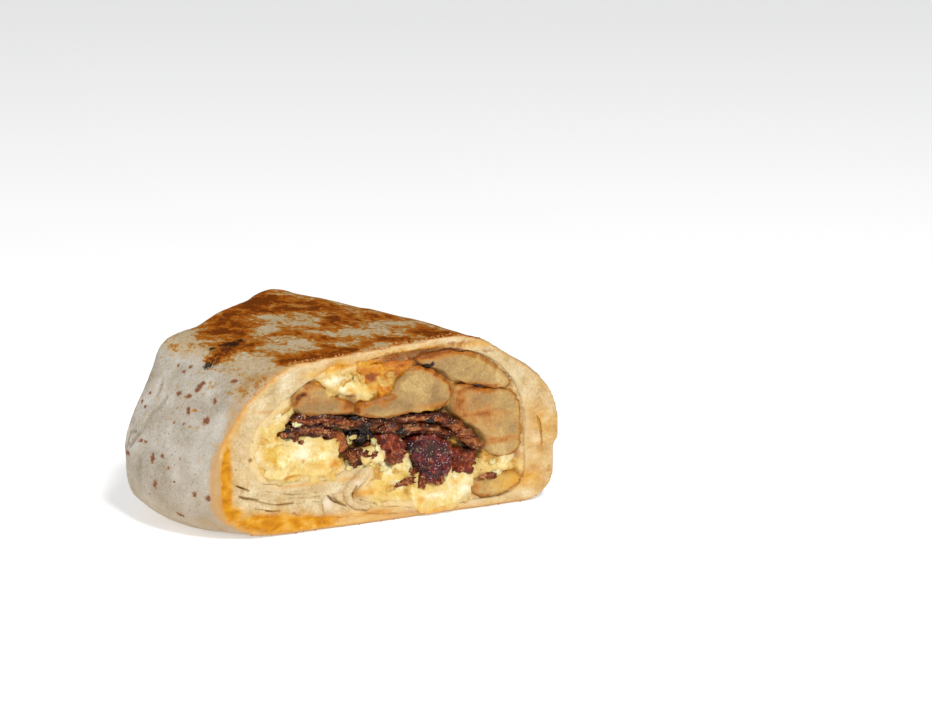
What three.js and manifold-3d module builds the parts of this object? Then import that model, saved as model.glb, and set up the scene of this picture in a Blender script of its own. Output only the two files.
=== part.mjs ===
// Half of a breakfast burrito, cut on the bias, lying on its flat side.
// +X runs along the roll from the closed end to the cut, +Z is up, millimetres.
import * as THREE from 'three';
import { mergeVertices } from 'three/addons/utils/BufferGeometryUtils.js';
import Module from 'manifold-3d';

const wasm = await Module();
wasm.setup();

// Driving dimensions
const ROLL_LENGTH = 66;          // closed end to the cut, along the middle
const CUT_ANGLE = THREE.MathUtils.degToRad(36);
const CLOSED_END = -ROLL_LENGTH;
const CUT_SLOPE = Math.tan(CUT_ANGLE);

// Corners of the wrapped outside: across, up, and the radius of each corner.
// They go round from the far bottom corner, over the top, to the near bottom corner.
// What would hang below the resting surface is pressed flat on it.
const CUT_CORNERS = [[37.8, -0.6, 9], [37.4, 31, 20], [18, 48.4, 14], [-23.3, 44.9, 8], [-39.6, 23, 20], [-39.2, -0.6, 13]];
const MIDDLE_CORNERS = [
  [37, -0.6, 9], [37.2, 34, 14], [25.5, 49.6, 10], [-22.5, 45.6, 9], [-39.6, 23, 18], [-38.5, -0.3, 12]];
const END_CORNERS = [[30, 2, 12], [33, 33, 14], [29, 52, 8], [-21, 46, 8], [-32, 24, 14], [-29, 4.5, 9]];

// The closed end: rounded over, with the folded edges of the rolled layers in a spiral that sinks to the middle
const END_ROUNDING = 0.15;       // the share of the roll's length that is rounded over
const END_CENTRE = [1, 22];
const END_LEAN = 0.14;           // how far the end leans back for each millimetre of height
const END_SKEW = 0.05;
const END_POWER = 3;
const TIP_RADIUS = 0.05;
const SINK_DEPTH = 4;
const SINK_REACH = 0.8;
const SPIRAL_TURNS = 1.9;
const SPIRAL_START = 0.42;       // share of a turn
const GROOVE_DEPTH = 1.7;
const GROOVE_WIDTH = 0.16;       // share of the spacing of the layers
const FOLD_STEP = 1.1;           // each layer stands out from the one inside it
const FADE_REACH = 0.3;          // the folds fade out at the middle and at the rim

// The tortilla's outer edge ends as a step along the far wall
const SEAM_START = 0.1;          // share of the way round, from the far bottom corner
const SEAM_END = 0.3;
const SEAM_STEP = 1.3;

// Fineness of the outside
const AROUND = 84;
const END_RINGS = 14;
const BODY_RINGS = 12;
const RINGS = END_RINGS + BODY_RINGS;
const CAVITY_SPACING = 2.6;
const SLIT_SPACING = 3;
const PIECE_SPACING = 2.1;

// The fillings narrow towards the closed end and stop short of it
const FILLING_CENTRE = [1, 24];
const NARROW_ACROSS = 0.15;
const NARROW_UP = 0.16;
const CAVITY_BACK = -56;
const FILLING_BACK = -55.4;
const PAST_CUT = 4;
const SLIT_DEPTH = 13;
const SLIT_WIDTH = 0.55;
const LENGTH_STEPS = 4;

// Inner face of the tortilla at the cut, with the curl of dough standing in it
const CAVITY = [
  [-31.2, 18], [-28.8, 14.4], [-21, 14], [-14.2, 13.2], [-11.2, 15.2], [-8.2, 16.2], [-5.2, 14.4],
  [-6.6, 11], [-6.6, 7.4], [-3.6, 4.4], [3, 3.2], [15, 2.6], [27, 2.9], [30, 6.5], [30.4, 16], [30.2, 26],
  [27.4, 34.6], [21.6, 41.4], [13, 44.7], [1, 44.5], [-8.6, 43.2], [-17, 41.2], [-22.6, 36.6], [-27.8, 32.2], [-31.2, 26],
];

// Thin gaps between the layers of dough at the cut
const SLITS = [
  [[-35.4, 16.6], [-33.6, 15.3], [-31.6, 14.2]],
  [[-35, 12.6], [-31.5, 10.8], [-27.2, 9.6]],
  [[-30.5, 7.4], [-25.5, 6.4], [-20.5, 6.2]],
  [[-25.6, 9.4], [-20.6, 9], [-16.4, 9.4]],
  [[-15.4, 11.6], [-13.4, 8.6], [-11, 6.4], [-7.4, 4.6]],
  [[-9, 7.8], [-9.4, 10.8], [-8.2, 13.4]],
  [[33.4, 6], [34.6, 15], [34.2, 25], [31, 33]],
  [[-14.5, 43.2], [-4, 45.5], [8, 46]],
];

// What shows at the cut, each piece by its outline there or by its centre line
const FILLINGS = [
  { name: 'egg_left', kind: 'egg', outline: [
    [-29.6, 19], [-29.4, 26.6], [-26.8, 30.4], [-23.6, 32.8], [-22.6, 30.8], [-24.8, 28.6], [-25.6, 26.2], [-23.6, 24.8],
    [-17.5, 24.9], [-13.6, 23.4], [-12.8, 21], [-13.4, 18.8], [-9.8, 17.2], [-13.4, 15], [-21, 15], [-28.4, 15.6]] },
  { name: 'egg_right', kind: 'egg', outline: [
    [-5, 13], [-4.2, 16], [-4.8, 19.4], [-3.2, 19.9], [-1.8, 15.4], [0.6, 14.8], [2.8, 16.4], [3.4, 18.2], [5, 13.2],
    [7.4, 9], [9.8, 7.8], [13, 10], [19.6, 10.2], [22.6, 12.2], [28.6, 10.2], [24.6, 9.4], [18, 8.4], [16.4, 4.6],
    [10, 3.4], [0, 4.6], [-5, 7.2], [-5.6, 10.4]] },
  { name: 'egg_upper', kind: 'egg', outline: [
    [-16, 39.6], [-12.6, 41.6], [-9, 40.4], [-6.2, 37], [-3.2, 35], [-7, 33.8], [-11, 34.8], [-13.6, 37.2]] },
  { name: 'cheese', kind: 'cheese', outline: [
    [-7.4, 42.2], [-2, 43.5], [3.4, 43.2], [4.6, 41.8], [1.6, 38], [0.2, 34.6], [-1.9, 34], [-3.8, 37.4], [-6.4, 40.2]] },
  { name: 'potato_1', kind: 'potato', outline: [
    [-21.2, 35.4], [-19.4, 38.6], [-16.4, 38.8], [-13.4, 35.4], [-8.9, 33], [-8.4, 31], [-14.4, 30.7], [-19.8, 32]] },
  { name: 'potato_2', kind: 'potato', outline: [
    [-7.4, 30.2], [-6, 32.4], [0.4, 33.6], [2.4, 37.4], [4.4, 40.4], [7.4, 40], [12.6, 35], [12.6, 30.8], [6, 28.8],
    [-3.4, 28.6]] },
  { name: 'potato_3', kind: 'potato', outline: [
    [5.8, 42.4], [10.6, 43.8], [16.6, 42.6], [23.8, 37.4], [27, 32.8], [22.4, 33], [14.8, 35.8], [9.4, 40.2]] },
  { name: 'potato_4', kind: 'potato', outline: [
    [15, 34.4], [21.4, 32], [28, 30.8], [29.3, 24], [28.8, 15.2], [25.6, 13.4], [22.4, 15.2], [21.2, 19.4], [14.2, 28.4]] },
  { name: 'potato_5', kind: 'potato', outline: [[18.2, 6.2], [21.4, 8.4], [28, 8.6], [29.2, 6.4], [26, 3.6], [19.4, 3.5]] },
  { name: 'bacon_1', kind: 'bacon', thickness: 2.2, line: [
    [-21.3, 30], [-14.4, 29.2], [-8.2, 27.4], [-2.4, 26.8], [4, 26.9], [10.5, 26], [15.5, 22.6], [20, 17]] },
  { name: 'bacon_2', kind: 'bacon', thickness: 1.8, line: [[-2.6, 24.6], [4, 24.3], [9, 23.4], [13, 21]] },
  { name: 'bacon_3', kind: 'bacon', thickness: 2.3, line: [
    [-23.6, 26.6], [-19, 27.3], [-14, 26], [-11.2, 23.4], [-11.2, 19.8]] },
  { name: 'bacon_4', kind: 'bacon', outline: [[-2, 22.8], [0.9, 22.9], [2.7, 20.6], [2.3, 17.6], [-0.1, 16.2], [-1.8, 19.2]] },
  { name: 'bacon_5', kind: 'bacon', outline: [
    [4.4, 20.8], [8.4, 21.9], [12.2, 18.8], [14, 14.6], [12.4, 11], [9.8, 9], [6.6, 13]] },
  { name: 'bacon_6', kind: 'bacon', outline: [[-9.4, 20.4], [-7.6, 20.8], [-5.6, 19], [-6.2, 16.8], [-8.6, 17.4]] },
  { name: 'bacon_7', kind: 'bacon', outline: [[14.8, 16], [17, 16.7], [19.4, 14.6], [19.6, 11.3], [15.2, 11.2]] },
  { name: 'bacon_8', kind: 'burnt', outline: [[-9, 25.2], [-6, 25.4], [-3.8, 23.4], [-4.2, 20.8], [-6, 21.6], [-8.6, 22.4]] },
];

// Colour, how rough the surface shines, and the relief of the cut face: its depth, the width of its lumps and its set-back
const KINDS = {
  egg: { color: 0xf0dc8c, roughness: 0.4, relief: 1.3, lump: 3.6, setBack: 0.1, pitch: 1.9 },
  cheese: { color: 0xe0973a, roughness: 0.35, relief: 0.9, lump: 3.2, setBack: 0.4, pitch: 2 },
  potato: { color: 0xcdb592, roughness: 0.6, relief: 0.3, lump: 6, setBack: 0, pitch: 3 },
  bacon: { color: 0x6e2d22, roughness: 0.3, relief: 1, lump: 2.8, setBack: 0.5, pitch: 1.8 },
  burnt: { color: 0x2c1712, roughness: 0.45, relief: 0.8, lump: 2.4, setBack: 0.9, pitch: 1.6 },
};
const TORTILLA_COLOR = 0xd6c6ae;
const TORTILLA_ROUGHNESS = 0.75;

// Turns a shape drawn across and up, extruded along the third way, to lie along the roll
const ALONG_ROLL = new THREE.Matrix4().makeBasis(
  new THREE.Vector3(0, 1, 0), new THREE.Vector3(0, 0, 1), new THREE.Vector3(1, 0, 0));

// A closed shape of straight sides joined by round corners
function roundedShape(corners) {
  const shape = new THREE.Shape();
  corners.forEach(([across, up, radius], i) => {
    const corner = new THREE.Vector2(across, up);
    const before = new THREE.Vector2(...corners.at(i - 1)).sub(corner).normalize();
    const after = new THREE.Vector2(...corners[(i + 1) % corners.length]).sub(corner).normalize();
    const half = Math.acos(before.dot(after)) / 2;
    const start = corner.clone().addScaledVector(before, radius / Math.tan(half));
    const end = corner.clone().addScaledVector(after, radius / Math.tan(half));
    const inward = before.clone().add(after).normalize();
    const centre = corner.clone().addScaledVector(inward, radius / Math.sin(half));
    if (i === 0) {
      shape.moveTo(start.x, start.y);
    } else {
      shape.lineTo(start.x, start.y);
    }
    const from = start.sub(centre).angle();
    const to = end.sub(centre).angle();
    shape.absarc(centre.x, centre.y, radius, from, to, false);
  });
  shape.closePath();
  return shape;
}

// The wrap's corners at a place along the roll, 0 at the closed end and 1 at the cut
function cornersAt(place) {
  const endShare = (1 - place) * (1 - 2 * place);
  const middleShare = 4 * place * (1 - place);
  const cutShare = place * (2 * place - 1);
  return CUT_CORNERS.map((corner, i) => corner.map((value, axis) =>
    cutShare * value + middleShare * MIDDLE_CORNERS[i][axis] + endShare * END_CORNERS[i][axis]));
}

// Where each ring of the outside lies: close together round the end, even along the body
function ringPlace(ring) {
  if (ring < END_RINGS) {
    const radius = Math.sin((Math.PI / 2) * (ring / END_RINGS));
    return END_ROUNDING * (1 - (1 - radius ** 2) ** (1 / END_POWER));
  }
  return END_ROUNDING + (1 - END_ROUNDING) * ((ring - END_RINGS) / BODY_RINGS);
}

// How far the folded end is sunk, by the share of the way out from its middle
function endRelief(radius, angle) {
  const sink = SINK_DEPTH * THREE.MathUtils.smoothstep(SINK_REACH - radius, 0, SINK_REACH);
  const turn = THREE.MathUtils.euclideanModulo(radius * SPIRAL_TURNS - angle / (2 * Math.PI) - SPIRAL_START, 1);
  const fromGroove = Math.min(turn, 1 - turn) / GROOVE_WIDTH;
  const groove = GROOVE_DEPTH * Math.exp(-(fromGroove ** 2));
  const middleFade = THREE.MathUtils.smoothstep(radius, 0, FADE_REACH);
  const rimFade = 1 - THREE.MathUtils.smoothstep(radius, 1 - FADE_REACH, 1);
  return sink + middleFade * rimFade * (groove - FOLD_STEP * turn);
}

// One ring of points round the outside
function outsideRing(place) {
  const outline = roundedShape(cornersAt(place)).getSpacedPoints(AROUND).slice(0, AROUND);
  const roundness = Math.max(0, 1 - place / END_ROUNDING);
  const radius = Math.max(TIP_RADIUS, Math.sqrt(1 - roundness ** END_POWER));
  const [centreAcross, centreUp] = END_CENTRE;
  return outline.map((point, i) => {
    const share = i / AROUND;
    const overSeam = share > SEAM_START && share < SEAM_END;
    const step = overSeam ? SEAM_STEP * (SEAM_END - share) / (SEAM_END - SEAM_START) : 0;
    const out = new THREE.Vector2(point.x - centreAcross, point.y - centreUp);
    out.setLength(out.length() + step).multiplyScalar(radius);
    const across = centreAcross + out.x;
    const up = Math.max(0, centreUp + out.y);
    const end = CLOSED_END + END_LEAN * (up - centreUp) - END_SKEW * across;
    const relief = endRelief(radius, out.angle());
    const along = end + (across * CUT_SLOPE - end) * place + relief;
    return new THREE.Vector3(along, across, up);
  });
}

// The whole outside, as a cylinder whose rings are moved to their places
function outsideGeometry() {
  const rings = Array.from({ length: RINGS + 1 }, (_, i) => outsideRing(ringPlace(i)));
  const middles = rings.map((ring) =>
    ring.reduce((sum, point) => sum.add(point), new THREE.Vector3()).divideScalar(AROUND));
  const geometry = new THREE.CylinderGeometry(1, 1, 1, AROUND, RINGS);
  const position = geometry.attributes.position;
  for (let i = 0; i < position.count; i++) {
    const ring = Math.round((position.getY(i) + 0.5) * RINGS);
    const angle = Math.atan2(position.getX(i), position.getZ(i));
    const step = (Math.round((angle / (2 * Math.PI)) * AROUND) + AROUND) % AROUND;
    const isMiddle = Math.hypot(position.getX(i), position.getZ(i)) < 0.5;
    const point = isMiddle ? middles[ring] : rings[ring][step];
    position.setXYZ(i, ...point);
  }
  return geometry;
}

// Bends a straight piece to the bias cut at one end and to the narrower closed end at the other
function bendToRoll(geometry) {
  const position = geometry.attributes.position;
  const [centreAcross, centreUp] = FILLING_CENTRE;
  for (let i = 0; i < position.count; i++) {
    const place = (position.getX(i) - CLOSED_END) / ROLL_LENGTH;
    const narrow = Math.max(0, 1 - place);
    const across = centreAcross + (position.getY(i) - centreAcross) * (1 - NARROW_ACROSS * narrow);
    const up = centreUp + (position.getZ(i) - centreUp) * (1 - NARROW_UP * narrow);
    const along = CLOSED_END + (across * CUT_SLOPE - CLOSED_END) * place;
    position.setXYZ(i, along, across, up);
  }
  return geometry;
}

function smoothCurve(points, closed) {
  const places = points.map(([across, up]) => new THREE.Vector3(across, up, 0));
  return new THREE.CatmullRomCurve3(places, closed, 'centripetal');
}

// Evenly spaced points round a soft closed outline
function softOutline(points, spacing) {
  const curve = smoothCurve(points, true);
  const count = Math.round(curve.getLength() / spacing);
  return curve.getSpacedPoints(count).slice(0, count);
}

// The outline of a strip that follows a line; its width at each share of the way comes from a function
function stripOutline(points, spacing, widthAt) {
  const curve = smoothCurve(points, false);
  const count = Math.max(4, Math.round(curve.getLength() / spacing));
  const left = [];
  const right = [];
  for (let i = 0; i <= count; i++) {
    const share = i / count;
    const place = curve.getPointAt(share);
    const way = curve.getTangentAt(share);
    const side = new THREE.Vector3(-way.y, way.x, 0).multiplyScalar(widthAt(share) / 2);
    left.push(place.clone().add(side));
    right.unshift(place.clone().sub(side));
  }
  return [...right, ...left];
}

// A rasher of bacon is thickest in the middle and wavers in thickness
function rasherWidth(thickness) {
  return (share) => thickness * (0.45 + 0.55 * Math.sin(Math.PI * share) ** 0.4) * (1 + 0.1 * Math.sin(9 * share));
}

// A gap between layers is a thin lens
function slitWidth(share) {
  return SLIT_WIDTH * (0.2 + 0.8 * Math.sin(Math.PI * share));
}

// A straight prism along the roll
function prism(outline, back, front) {
  const shape = new THREE.Shape(outline.map((point) => new THREE.Vector2(point.x, point.y)));
  const geometry = new THREE.ExtrudeGeometry(shape, {
    depth: front - back, steps: LENGTH_STEPS, bevelEnabled: false });
  return geometry.translate(0, 0, back).applyMatrix4(ALONG_ROLL);
}

// A fixed random height, from -1 to 1, at each point of a square lattice
function latticeHeight(column, row) {
  const scattered = Math.sin(column * 127.1 + row * 311.7) * 43758.5453;
  return 2 * (scattered - Math.floor(scattered)) - 1;
}

// The relief of a cut face: soft lumps as wide as the food's curds or flakes
function reliefAt(across, up, kind) {
  const column = Math.floor(across / kind.lump);
  const row = Math.floor(up / kind.lump);
  const acrossShare = THREE.MathUtils.smoothstep(across / kind.lump - column, 0, 1);
  const upShare = THREE.MathUtils.smoothstep(up / kind.lump - row, 0, 1);
  const low = THREE.MathUtils.lerp(latticeHeight(column, row), latticeHeight(column + 1, row), acrossShare);
  const high = THREE.MathUtils.lerp(latticeHeight(column, row + 1), latticeHeight(column + 1, row + 1), acrossShare);
  return kind.relief * THREE.MathUtils.lerp(low, high, upShare) - kind.setBack;
}

// A block whose front face has the relief, to give a filling its cut face
function reliefBlock(box, kind) {
  const size = box.getSize(new THREE.Vector3()).addScalar(2);
  const middle = box.getCenter(new THREE.Vector3());
  const acrossSteps = Math.ceil(size.y / kind.pitch);
  const upSteps = Math.ceil(size.z / kind.pitch);
  const back = FILLING_BACK - 1;
  const geometry = new THREE.BoxGeometry(-back, size.y, size.z, 1, acrossSteps, upSteps);
  geometry.translate(back / 2, middle.y, middle.z);
  const position = geometry.attributes.position;
  for (let i = 0; i < position.count; i++) {
    if (position.getX(i) > back / 2) {
      position.setX(i, reliefAt(position.getY(i), position.getZ(i), kind));
    }
  }
  return geometry;
}

function toSolid(geometry) {
  const bare = geometry.clone();
  bare.deleteAttribute('normal');
  bare.deleteAttribute('uv');
  const merged = mergeVertices(bare);
  const vertProperties = new Float32Array(merged.attributes.position.array);
  const triVerts = new Uint32Array(merged.index.array);
  return new wasm.Manifold(new wasm.Mesh({ numProp: 3, vertProperties, triVerts }));
}

function toGeometry(solid) {
  const mesh = solid.getMesh();
  const geometry = new THREE.BufferGeometry();
  geometry.setAttribute('position', new THREE.BufferAttribute(new Float32Array(mesh.vertProperties), 3));
  geometry.setIndex(new THREE.BufferAttribute(new Uint32Array(mesh.triVerts), 1));
  return geometry;
}

function namedMesh(name, geometry, color, roughness) {
  geometry.computeVertexNormals();
  const mesh = new THREE.Mesh(geometry, new THREE.MeshStandardMaterial({ color, roughness, metalness: 0 }));
  mesh.name = name;
  return mesh;
}

// The tortilla: the wrapped outside less the room for the filling and the gaps between its layers
function tortilla() {
  const room = bendToRoll(prism(softOutline(CAVITY, CAVITY_SPACING), CAVITY_BACK, PAST_CUT));
  let solid = toSolid(outsideGeometry()).subtract(toSolid(room));
  for (const line of SLITS) {
    const slit = prism(stripOutline(line, SLIT_SPACING, slitWidth), -SLIT_DEPTH, PAST_CUT);
    solid = solid.subtract(toSolid(bendToRoll(slit)));
  }
  return namedMesh('tortilla', toGeometry(solid), TORTILLA_COLOR, TORTILLA_ROUGHNESS);
}

// One piece of the filling, from the cut to near the closed end
function filling({ name, kind, outline, line, thickness }) {
  const look = KINDS[kind];
  const edge = line ? stripOutline(line, PIECE_SPACING, rasherWidth(thickness)) : softOutline(outline, PIECE_SPACING);
  const straight = prism(edge, FILLING_BACK, PAST_CUT);
  straight.computeBoundingBox();
  const cut = toSolid(straight).intersect(toSolid(reliefBlock(straight.boundingBox, look)));
  return namedMesh(name, bendToRoll(toGeometry(cut)), look.color, look.roughness);
}

const burrito = new THREE.Group();
burrito.add(tortilla());
FILLINGS.forEach((piece) => burrito.add(filling(piece)));

// The origin is the middle of the bottom of the whole
const bounds = new THREE.Box3().setFromObject(burrito);
const middle = bounds.getCenter(new THREE.Vector3());
burrito.position.set(-middle.x, -middle.y, -bounds.min.z);

export default burrito;
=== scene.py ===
"""Half of a griddled breakfast burrito, cut on the bias and lying on a pale floor."""
import math

import bpy
import numpy as np
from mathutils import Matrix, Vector, noise
from mathutils.bvhtree import BVHTree
from mathutils.kdtree import KDTree


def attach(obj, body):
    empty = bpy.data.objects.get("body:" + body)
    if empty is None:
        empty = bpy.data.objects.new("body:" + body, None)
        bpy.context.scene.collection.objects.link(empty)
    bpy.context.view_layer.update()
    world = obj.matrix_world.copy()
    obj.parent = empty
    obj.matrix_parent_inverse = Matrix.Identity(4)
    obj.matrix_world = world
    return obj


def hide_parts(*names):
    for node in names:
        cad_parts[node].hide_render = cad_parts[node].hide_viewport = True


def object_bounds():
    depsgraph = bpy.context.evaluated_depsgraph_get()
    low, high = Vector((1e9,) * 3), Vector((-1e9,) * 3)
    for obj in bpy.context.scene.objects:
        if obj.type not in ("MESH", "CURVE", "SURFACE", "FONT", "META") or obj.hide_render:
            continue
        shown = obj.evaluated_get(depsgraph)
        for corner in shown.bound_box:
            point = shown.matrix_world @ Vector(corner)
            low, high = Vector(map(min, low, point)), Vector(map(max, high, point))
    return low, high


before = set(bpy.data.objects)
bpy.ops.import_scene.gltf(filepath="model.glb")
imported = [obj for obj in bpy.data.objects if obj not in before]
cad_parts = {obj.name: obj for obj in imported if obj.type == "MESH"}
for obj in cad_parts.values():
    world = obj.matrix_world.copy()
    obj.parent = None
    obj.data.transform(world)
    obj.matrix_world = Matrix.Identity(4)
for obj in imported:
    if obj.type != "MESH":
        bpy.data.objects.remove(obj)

cad_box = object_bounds()

# The frame: the cut is a plane, and lengths are in millimetres where no comment says otherwise
MM = 0.001
PER_MM = 1 / MM
CUT_ANGLE = math.radians(36)
CUT_NORMAL = np.array([math.cos(CUT_ANGLE), -math.sin(CUT_ANGLE), 0.0])
SQUARE_TO_CUT = np.array([CUT_NORMAL, [math.sin(CUT_ANGLE), math.cos(CUT_ANGLE), 0.0], [0.0, 0.0, 1.0]])
FLAT = np.array([1, 1, 0])    # leaves out how far behind the cut a place lies
NEAR_REACH = 40.37            # from the roll's middle line to its near side
TOUCH = 0.03                  # what lies this close to the cut plane is on it

# The camera, in the roll's own frame: its middle line's foot at the cut is the origin
IMAGE_WIDTH = 932
IMAGE_HEIGHT = 720
FOCAL_LENGTH = 2300           # in pixels
SENSOR_WIDTH = 36
CAMERA_PLACE = np.array([298.3, -479.6, 194.3])
CAMERA_AZIMUTH = math.radians(30)
CAMERA_DROP = math.radians(15)

# Fineness of the modelled skins, and where they are rounded
WRAP_VOXEL = 0.66
SAUCE_VOXEL = 0.5
HEAP_VOXEL = 1.0              # of a heap of egg, before its curds are added
WRAP_SMOOTHING = 11
RIM_SMOOTHING = 8             # within the cut plane only, so that the cut stays flat
RIM_MARGIN = 1.2
FLATTEN_REACH = 0.15
FACE_CUTS = 2
LINE_STEP = 0.15
RIM_STEP = 0.2
SHARP_EDGE = math.radians(55)

# Openings of the cut
OPENING_REACH = 3.0
WEDGE = (1.0, 0.15)           # a gap between layers is this many times as wide at its left and right end
INNER_REACH = 2.5             # what lies further than this inside the rim is a gap or the filling's room
SAUCE_FRONT = 0.4             # the sauce between the pieces lies this far behind the cut
SAUCE_BACK = 5.0
SAUCE_SWELL = (0.7, 0.8)      # how far it swells against the pieces, and how unevenly
SAUCE_SUNK = (2.2, 1.1)       # how far it lies back beside the bacon and beside the potatoes
FAR = 12.0                    # distances to the rims are measured up to here

# Relief, as the width and depth of lumps
SKIN_RELIEF = ((15, 0.7), (5, 0.2))
SKIN_GRAIN = (1.6, 0.07)
DOUGH_RELIEF = ((8, 0.45), (2.4, 0.14), (0.9, 0.06))
LAYER_WANDER = ((9, 0.6), (3, 0.15))
SAUCE_RELIEF = ((4, 0.5), (1.8, 0.3), (0.8, 0.12))
BIT_RELIEF = ((1.3, 0.9), (2.6, 0.6), (4.5, 0.35))    # how fine and how deep, as shares of a bit's size

# Dough at the cut, and folds of the skin
LAYER_THICKNESS = 2.3
LAYER_OFFSET = 0.12           # how far a layer stands proud of or behind its neighbour
SEAM_WIDTH = 0.2
SEAM_DEPTH = 0.07
STEP_RISE = 0.16              # how far the upper side of a layer's edge stands out
STEP_DROP = 0.34
STEP_LINE = 0.45
RIBBON_HEIGHT = 0.85          # how far the curled end stands out, and how deep its grooves are
RIBBON_GROOVE = 0.5
LIP_WIDTH = 0.28
MOST_OUT = 1.0
FOLD_DEPTH = 0.6
FOLD_LIP = 0.22

# How brown the griddle made the top, how much a mark adds, and how far the sides are from turning brown
TOP_HEAT = 0.98
MARK_HEAT = 0.75
SIDE_CHILL = 0.75

# Brown blisters on the pale side: pixel across and down, and width and height in pixels
BLISTERS = (
    (197.5, 390.5, 6, 6), (200.5, 387, 7, 7), (204, 383.5, 6, 5), (188.8, 410.6, 5, 9.5),
    (216.3, 402, 4.6, 8), (206.6, 421.8, 8, 9), (152, 458, 5.5, 11.5), (162.2, 456, 4.6, 5),
    (179.9, 458.6, 3.8, 3.8), (156.1, 484, 5.4, 8.4), (194.4, 494.3, 5.4, 6), (208.2, 498.4, 6, 7),
    (180, 515, 8, 4), (179.6, 393.8, 6, 6), (188.8, 396.8, 8, 5), (174.2, 421.8, 3.4, 3.4),
    (183.7, 423.9, 2.8, 2.8), (178, 408, 2.4, 2.4), (226.5, 401.4, 3, 2.4), (236.2, 382.5, 9, 5),
    (150, 393.3, 3, 4), (142, 401.4, 3.4, 4.4), (145.4, 406.5, 3, 4), (140.8, 440.2, 5, 4),
    (144.9, 441.7, 3.4, 3.4), (129, 452.4, 6, 7), (168.4, 467.8, 2.8, 4), (174.5, 481.5, 3, 2.6),
    (151, 493.3, 3, 2.4), (184, 371.5, 5, 4), (178, 365.4, 2.6, 5), (191, 366.8, 5, 4), (254.5, 382, 4, 4),
    (258, 389, 4, 5),
)

# Where the griddle browned the top most, and where it hardly touched it: pixel, size and how much. The small
# pale mark at (276, 297.5) is a painted glint
GRIDDLE_AND_GLINT_MARKS = (
    (212, 329.6, 32, 16, 1.0), (232.6, 317, 44, 22, 1.0), (259.5, 298.6, 48, 16, 1.1),
    (243, 331.6, 36, 10, 0.8), (274, 310, 50, 6, 0.9), (216, 356.5, 30, 18, 1.3), (232.6, 344, 34, 10, 1.2),
    (292.6, 334.8, 22, 9, 0.8), (336, 321, 40, 13, 1.1), (311, 308, 50, 7, 0.8), (378, 314.5, 34, 6, 0.7),
    (425, 331.7, 34, 9, 0.9), (443, 335, 22, 6, 0.8), (389.7, 340, 38, 7, 0.9), (325.6, 339, 40, 5, 0.6),
    (284, 361, 24, 7, 0.7), (307, 357.5, 50, 9, 1.0), (332, 352, 40, 8, 1.0), (350, 348, 26, 5, 0.8),
    (259.5, 346, 22, 10, 0.4), (412, 326, 24, 5, 0.6), (470, 335, 60, 14, 0.6), (292, 301, 44, 8, 0.7),
    (335, 308, 50, 6, 0.6), (375, 318, 40, 5, 0.5), (276, 297.5, 12, 4, -0.4), (274, 318, 60, 6, -0.75),
    (305, 324.4, 34, 8, -0.65), (265.7, 329.6, 24, 10, -0.65), (299, 344, 36, 9, -0.85),
    (357, 333.5, 60, 7, -0.8), (398, 323, 50, 8, -0.5), (249, 362.6, 34, 18, -1.0), (278, 348, 30, 7, -0.4),
    (187, 338, 40, 30, -1.0), (190, 362, 40, 30, -1.0), (232, 382, 50, 18, -0.7), (270, 366, 26, 8, -0.6),
)
CHAR_MARKS = (
    (208, 366, 13, 9), (211.6, 347.5, 9, 5), (221, 344, 8, 4), (232, 343, 20, 7), (240, 339, 12, 4),
)

# Where dark specks lie thick on the browned skin
SCORCH_MARKS = (
    (220, 352, 48, 20, 0.72), (234, 343, 46, 12, 0.5), (210, 366, 26, 16, 0.6), (238, 362, 40, 20, 0.35),
)

# Folds pressed into the pale side, as lines of pixels
CREASES = (
    ((166.8, 397.3), (159.2, 407.6), (151, 413.7), (144.9, 423.9), (140.8, 431), (133.7, 441.2),
     (130.6, 446.3)),
    ((161.2, 383), (159.7, 389.2), (157.1, 395.3)),
    ((135.7, 431), (130.6, 432), (129, 440.2), (128, 445.3)),
)

# Folds of the tucked end, as lines of places across the roll and up, in millimetres
TUCK_CREASES = (
    ((-33, 35), (-22, 31.5), (-9, 27), (5, 22.5), (17, 17), (29, 13.5)),
    ((-29, 8), (-18, 12.5), (-9, 18.5), (-3, 25)),
    ((9, 21), (14, 28), (21, 34)),
)

# Brown blisters that the camera doesn't see: how many, and their radius
FAR_BLISTERS = 46
FAR_BLISTER_RADIUS = (0.6, 1.7)

# Gaps between the layers of dough: pixel of the middle, and how much of the gap shows open
SLITS = (
    (242.3, 488.2, 0.7), (248, 498.6, 0.5), (284.5, 504, 0.36), (273, 511.2, 0.3), (335.5, 501.5, 0.5),
    (353.3, 492, 0.6), (383, 357, 0.22), (540, 430, 0.3),
)

# Edges of layers that show at the cut, as lines of pixels: the layer left of the line lies on top
DOUGH_STEPS = (
    ((241, 498), (253, 500.2), (264, 502.4), (277, 505), (291, 504.2), (305, 501.6), (318, 501)),
    ((268, 491), (274, 491.8), (288, 493.9), (302, 493.2), (312.7, 491.8), (325, 490.4)),
    ((290, 497.5), (304, 497), (318, 495.4), (326, 494.6)), ((264.6, 484.7), (262, 489), (258.7, 494.2)),
    ((333, 494), (337.4, 501), (341.9, 506), (347, 511.5), (353, 514.5)),
    ((378, 499), (365, 498.5), (357, 497.8)),
    ((362.3, 499.7), (363, 507.4), (367.4, 512.5), (380, 513.6), (399, 512.5)),
    ((255, 508.5), (267, 510), (277, 511.9), (293, 513.4), (305, 516)),
    ((326, 493), (322, 502), (323.5, 511)), ((330, 516.6), (345, 516.8), (358.5, 516.2)),
    ((247, 453.5), (242, 457), (240.4, 462)), ((264, 444), (260, 453), (256.6, 459.5), (254, 468)),
)

# The inner end of the tortilla, curled on itself: pixels of its middle line, and half its width in mm
RIBBON = (
    (369, 472, 1.5), (360, 480, 1.45), (352.5, 486.5, 1.3), (348.3, 493, 1.1), (350, 500.5, 1.1),
    (357, 504.6, 1.15), (367, 506, 1.0),
)

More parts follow.
